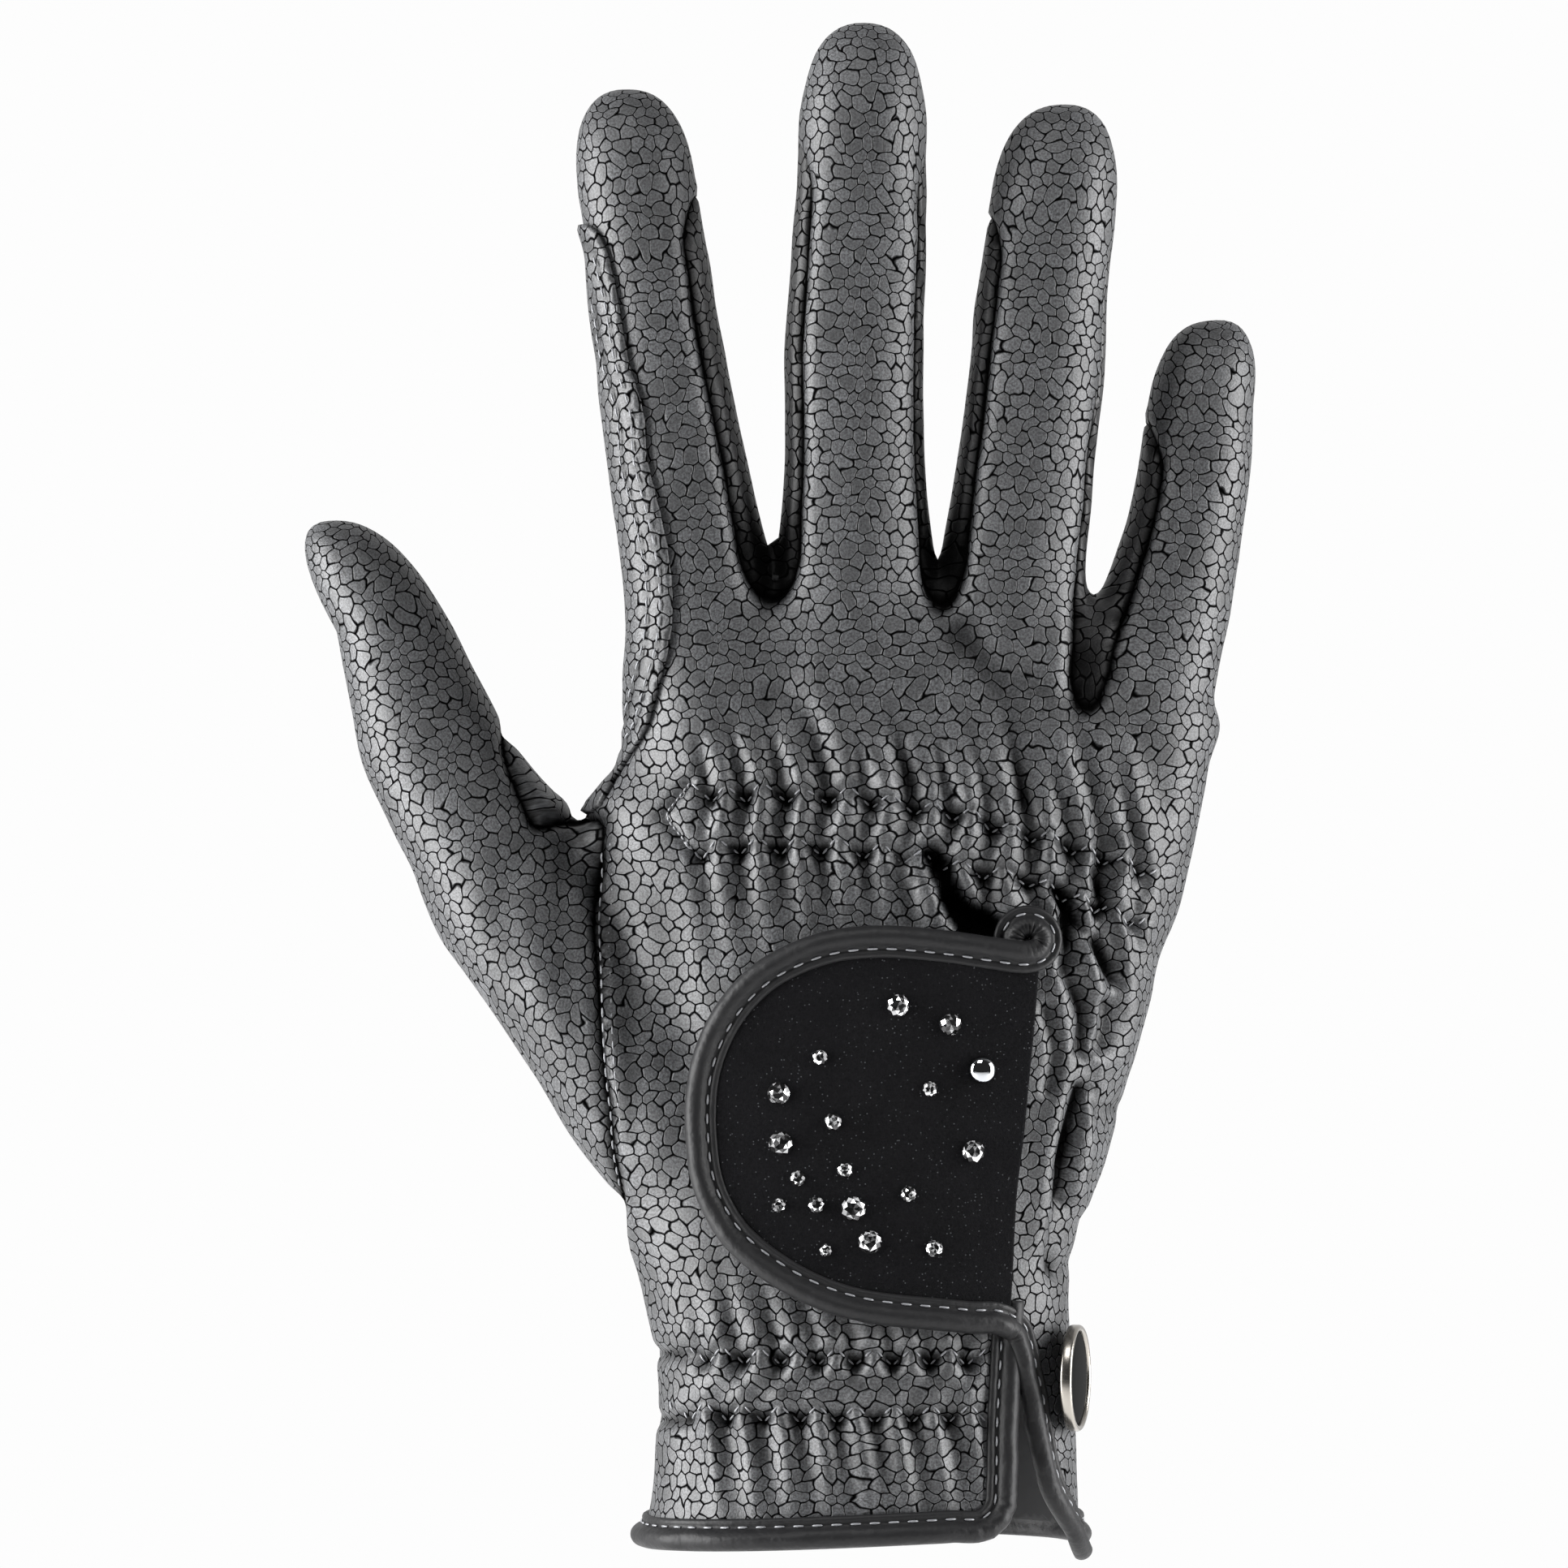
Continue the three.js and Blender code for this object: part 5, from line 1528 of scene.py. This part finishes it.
# The outline is shared out at these two corners between the tab's low, left and high borders
TAB_CORNERS = (0.30, 0.67)
border = offset_line(TAB_OUTLINE, ROLL_WIDTH - 0.3)
low_cut, high_cut = [int(len(border) * share) for share in TAB_CORNERS]
low_border = np.concatenate([border[low_cut::-1], TAB_RIGHT[:1]])
high_border = np.concatenate([border[high_cut:], TAB_RIGHT[-1:]])
side_border = border[low_cut : high_cut + 1]
tab_grid = filled(resampled(side_border, GRID), resampled(TAB_RIGHT, GRID),
                  resampled(low_border, GRID), resampled(high_border, GRID))
tab_skin, tab_normals = on_back(tab_grid[..., 0], tab_grid[..., 1])
tab_height = SUEDE_TOP + 0.18 * noise(tab_skin.reshape(-1, 3), 11.0, 1.7).reshape(GRID, GRID)
tab_points = tab_skin + tab_normals * tab_height[..., None]
quads = grid_faces(GRID, GRID, wrap=False)
tab_mesh = mesh_from("closure_tab_suede", tab_points.reshape(-1, 3), quads)
finished("closure_tab_suede", tab_mesh, (SUEDE,), ("closure_tab",), SUEDE_THICKNESS)
print("tab", (tab_grid.max(axis=(0, 1)) - tab_grid.min(axis=(0, 1))).round(1), "mm")

# %% [markdown]
# ## Stones
#
# Cut glass stones have a table, eight kites and a girdle of small facets, with a foil behind. Each
# facet mirrors another part of the room, so besides its real mirror shine each gets a painted
# reflection: a brightness of its own in its colour. The largest stone is a smooth dome.

# %% Stones
# Middle and radius in the photograph's pixels
STONES = [
    (1104, 1235, 13.4), (1167, 1258, 13.0), (1011, 1298, 9.0), (1204, 1313, 17.0),
    (1142, 1336, 9.0), (962, 1342, 13.5), (1026, 1376, 10.5), (964, 1403, 14.5),
    (1193, 1412, 13.5), (984, 1445, 9.4), (1040, 1435, 9.0), (1116, 1464, 9.4), (962, 1478, 8.5),
    (1006, 1477, 9.8), (1050, 1482, 15.0), (1070, 1522, 14.0), (1017, 1532, 7.6),
    (1146, 1530, 10.3),
]
DOME = 3
# Brightness of a facet's painted reflection, and how often each occurs
FACET_REFLECTIONS = [0.02, 0.05, 0.25, 0.6, 1.0]
FACET_ODDS = [0.4, 0.22, 0.16, 0.12, 0.10]


def revolved(outline, around):
    """Points and triangles of an outline (radius, height) turned about its axis. Its first and
    last point lie on the axis and close the shape."""
    angle = np.linspace(0, 2 * np.pi, around, endpoint=False)
    outline = np.array(outline, float)
    radius, height = outline[1:-1, :1], outline[1:-1, 1:]
    grid = np.stack([radius * np.cos(angle), radius * np.sin(angle),
                     np.broadcast_to(height, (len(height), around))], axis=-1)
    return closed_grid(grid, [(0, 0, outline[0, 1]), (0, 0, outline[-1, 1])])


def cut_stone(radius):
    """A round faceted stone: girdle ring, ring of kites, table ring, each turned against the
    next, closed by a flat bottom."""
    sizes = ((1.0, 0.0, 16, 0.0), (1.0, 0.22, 16, 0.0), (0.80, 0.46, 8, 0.5), (0.52, 0.66, 8, 0.0))
    rings, starts, first = [], [], 1
    for share, rise, count, shift in sizes:
        angle = (np.arange(count) + shift) * 2 * np.pi / count
        rings.append(np.stack([share * np.cos(angle), share * np.sin(angle),
                               np.full(count, rise)], axis=1))
        starts.append(first)
        first += count
    points = np.concatenate([[(0, 0, 0)]] + rings + [[(0, 0, sizes[-1][1])]]) * radius
    k, m = np.arange(16), np.arange(8)
    faces = [np.stack([np.zeros(16, int), 1 + (k + 1) % 16, 1 + k], 1)]
    a, b, c, d = starts
    faces += [np.stack([a + k, a + (k + 1) % 16, b + (k + 1) % 16], 1),
              np.stack([a + k, b + (k + 1) % 16, b + k], 1)]
    even, odd = b + 2 * m, b + 2 * m + 1
    following = b + (2 * m + 2) % 16
    faces += [np.stack([even, odd, c + m], 1), np.stack([odd, following, c + m], 1),
              np.stack([following, c + (m + 1) % 8, c + m], 1),
              np.stack([d + m, c + m, d + (m + 1) % 8], 1),
              np.stack([c + m, c + (m + 1) % 8, d + (m + 1) % 8], 1),
              np.stack([d + m, d + (m + 1) % 8, np.full(8, len(points) - 1)], 1)]
    return points, np.concatenate(faces)


def foiled_glass():
    """Lead glass over silver foil: a mirror whose colour is a painted reflection, by facet from
    nearly black to white.
    """
    material, tree, shader = new_material("foiled_lead_glass", "ffffff", Metallic=0.85,
                                          Roughness=0.04)
    facet_reflection = add(tree, "Attribute", attribute_name="facet_reflection")
    feed(tree, shader, Base_Color=facet_reflection.outputs["Color"])
    return material


CRYSTAL = foiled_glass()
# Smooth glass dome with a dark foil, mirror bright only at its rim
DOME_GLASS = new_material("dark_foiled_dome", "9a9c9f", Metallic=1.0, Roughness=0.05)[0]
stone_places = from_photo([stone[:2] for stone in STONES])
stone_skin, stone_normals = on_back(stone_places[:, 0], stone_places[:, 1])
for k, (stone, seat, normal) in enumerate(zip(STONES, stone_skin, stone_normals)):
    radius = stone[2] * PIXEL
    if k == DOME:
        dome = [(0, 0), (1, 0), (1, 0.15)] + [
            (math.cos(t), 0.15 + 0.72 * math.sin(t)) for t in np.linspace(0.1, np.pi / 2, 14)
        ]
        local, faces = revolved(np.array(dome) * radius, 48)
    else:
        local, faces = cut_stone(radius)
    spin = rng.uniform(0, 2 * np.pi)
    side = unit(np.cross(normal, [0.0, 0.0, 1.0]))
    up = np.cross(normal, side)
    axis_a = math.cos(spin) * side + math.sin(spin) * up
    axis_b = np.cross(normal, axis_a)
    placed = (seat + normal * (SUEDE_TOP - 0.05)) + local @ np.stack([axis_a, axis_b, normal])
    stone_name = f"cut_stone_{k + 1:02d}"
    shape = mesh_from(stone_name, placed, faces)
    if k != DOME:
        count = len(shape.polygons)
        # Painted reflection: each facet gets a brightness of its own in its colour
        shade = rng.choice(FACET_REFLECTIONS, count, p=FACET_ODDS)
        colours = np.column_stack([shade, shade, shade * 1.02, np.ones(count)])
        facet_reflection = shape.attributes.new("facet_reflection", "FLOAT_COLOR", "FACE")
        facet_reflection.data.foreach_set("color", colours.astype(np.float32).ravel())
    finished(stone_name, shape, (DOME_GLASS if k == DOME else CRYSTAL,),
             (f"stone_{k + 1:02d}",))
    if k != DOME:
        shape.polygons.foreach_set("use_smooth", np.zeros(count, bool))
print(len(STONES), "stones")

# %% [markdown]
# ## Badge
#
# The badge is a nickel cup with a glossy black face and nothing on it.

# %% Badge
NICKEL = new_material("brushed_nickel", "86827c", Metallic=1.0, Roughness=0.26)[0]
ENAMEL = new_material("black_enamel", "020202", Roughness=0.1, Coat_Weight=0.12,
                      Coat_Roughness=0.03, Specular_IOR_Level=0.0)[0]
badge_box = np.array([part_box("badge_cup")[0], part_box("badge_cup")[1]]) / MM
BADGE_TURN = math.radians(77)
badge_normal = np.array([math.sin(BADGE_TURN), -math.cos(BADGE_TURN), 0.0])
BADGE_RADIUS = 16.3 / 2
BADGE_HIGH = 1.8
badge_seat = badge_box.mean(axis=0) - badge_normal * BADGE_HIGH / 2
badge_side = np.array([-badge_normal[1], badge_normal[0], 0.0])
badge_axes = np.stack([badge_side, np.cross(badge_normal, badge_side), badge_normal])
edge = BADGE_RADIUS
# Radius and height in millimetres: up the rounded rim and down its inside, then the domed face
cup_outline = [
    (0, 0), (edge - 0.4, 0), (edge - 0.1, 0.1), (edge, 0.4), (edge, 1.35), (edge - 0.1, 1.62),
    (edge - 0.3, 1.78), (edge - 0.55, 1.8), (edge - 0.78, 1.68), (edge - 0.9, 1.4),
    (edge - 0.95, 0.8), (0, 0.8),
]
face_edge = edge - 1.15
face_outline = [(0, 0.9), (face_edge, 0.9), (face_edge + 0.1, 1.0), (face_edge + 0.1, 1.3)] + [
    (face_edge * math.cos(t), 1.36 + 0.34 * math.sin(t)) for t in np.linspace(0.1, np.pi / 2, 12)
]
for badge_name, outline, material, node, slot in (
    ("badge_rim", cup_outline, NICKEL, "badge_cup", "nickel"),
    ("badge_enamel", face_outline, ENAMEL, "badge_face", "enamel"),
):
    local, faces = revolved(outline, 96)
    shape = mesh_from(badge_name, badge_seat + local @ badge_axes, faces)
    finished(badge_name, shape, (material,), (node,))
print("badge at", badge_seat.round(1))

# %% [markdown]
# ## Topstitching
#
# Two rows of thread run beside the patch's edge and the thumb's seam, and the elastic rows show
# as two stitches on every leg of the zigzag.

# %% Topstitching
def on_relief(line, lift):
    """A line in the front view laid on the leather with its relief, and lifted."""
    points, normals = on_back(line[:, 0], line[:, 1])
    # Only where a ray met the skin and the skin faces the camera
    found = (np.abs(glove_distance(points)) < 0.3) & (normals[:, 1] < -0.3)
    points, normals = points[found], normals[found]
    height = relief(points, normals) + lift
    return points + normals * height[:, None], normals


# Pitch, length and radius of the stitches
PATCH_STITCH = (2.5, 1.8, 0.17)
THUMB_STITCH = (2.3, 1.6, 0.16)
# The part of the patch's edge that faces the camera
inner_edge = PATCH_EDGE[9:-6]
for k, inset in enumerate(PATCH_ROWS):
    path = on_relief(offset_line(inner_edge, -inset), PATCH_LIFT + 0.1)
    stitches(f"patch_stitches_{k + 1}", *path, *PATCH_STITCH)
# The thumb's stitches start at this height on the seam's upright part and take this many points
THUMB_START = 52.0
THUMB_POINTS = 38
elsewhere = np.where(THUMB_SEAM[:, 0] < -45, 99.0, 0.0)
seam_start = int(np.argmin(np.abs(THUMB_SEAM[:, 1] - THUMB_START) + elsewhere))
thumb_part = THUMB_SEAM[seam_start : seam_start + THUMB_POINTS]
for k, inset in enumerate((0.4, 1.8)):
    path = on_relief(offset_line(thumb_part, inset), 0.0)
    stitches(f"thumb_stitches_{k + 1}", *path, *THUMB_STITCH)


def leg_stitches(name, row):
    """Two stitches on every leg of a zigzag row."""
    start, stop = row[:-1], row[1:]
    middles = np.concatenate([start * 0.73 + stop * 0.27, start * 0.27 + stop * 0.73])
    direction = np.concatenate([stop - start] * 2)
    points, normals = on_back(middles[:, 0], middles[:, 1])
    height = relief(points, normals) + 0.12
    tangent = unit(np.stack([direction[:, 0], np.zeros(len(direction)), direction[:, 1]], 1))
    tangent = unit(tangent - normals * (tangent * normals).sum(axis=1, keepdims=True))
    side = np.cross(tangent, normals)
    length = np.linalg.norm(direction, axis=1).mean() * 0.40
    spindles(name, points + normals * height[:, None], tangent, side, normals, length, 0.17)


for row_name, row in (("upper", ROW_A), ("lower", ROW_B), ("wrist_upper", ROW_C),
                      ("wrist_lower", ROW_D), ("chevron", resampled(CHEVRON, 9))):
    leg_stitches("elastic_stitches_" + row_name, row)
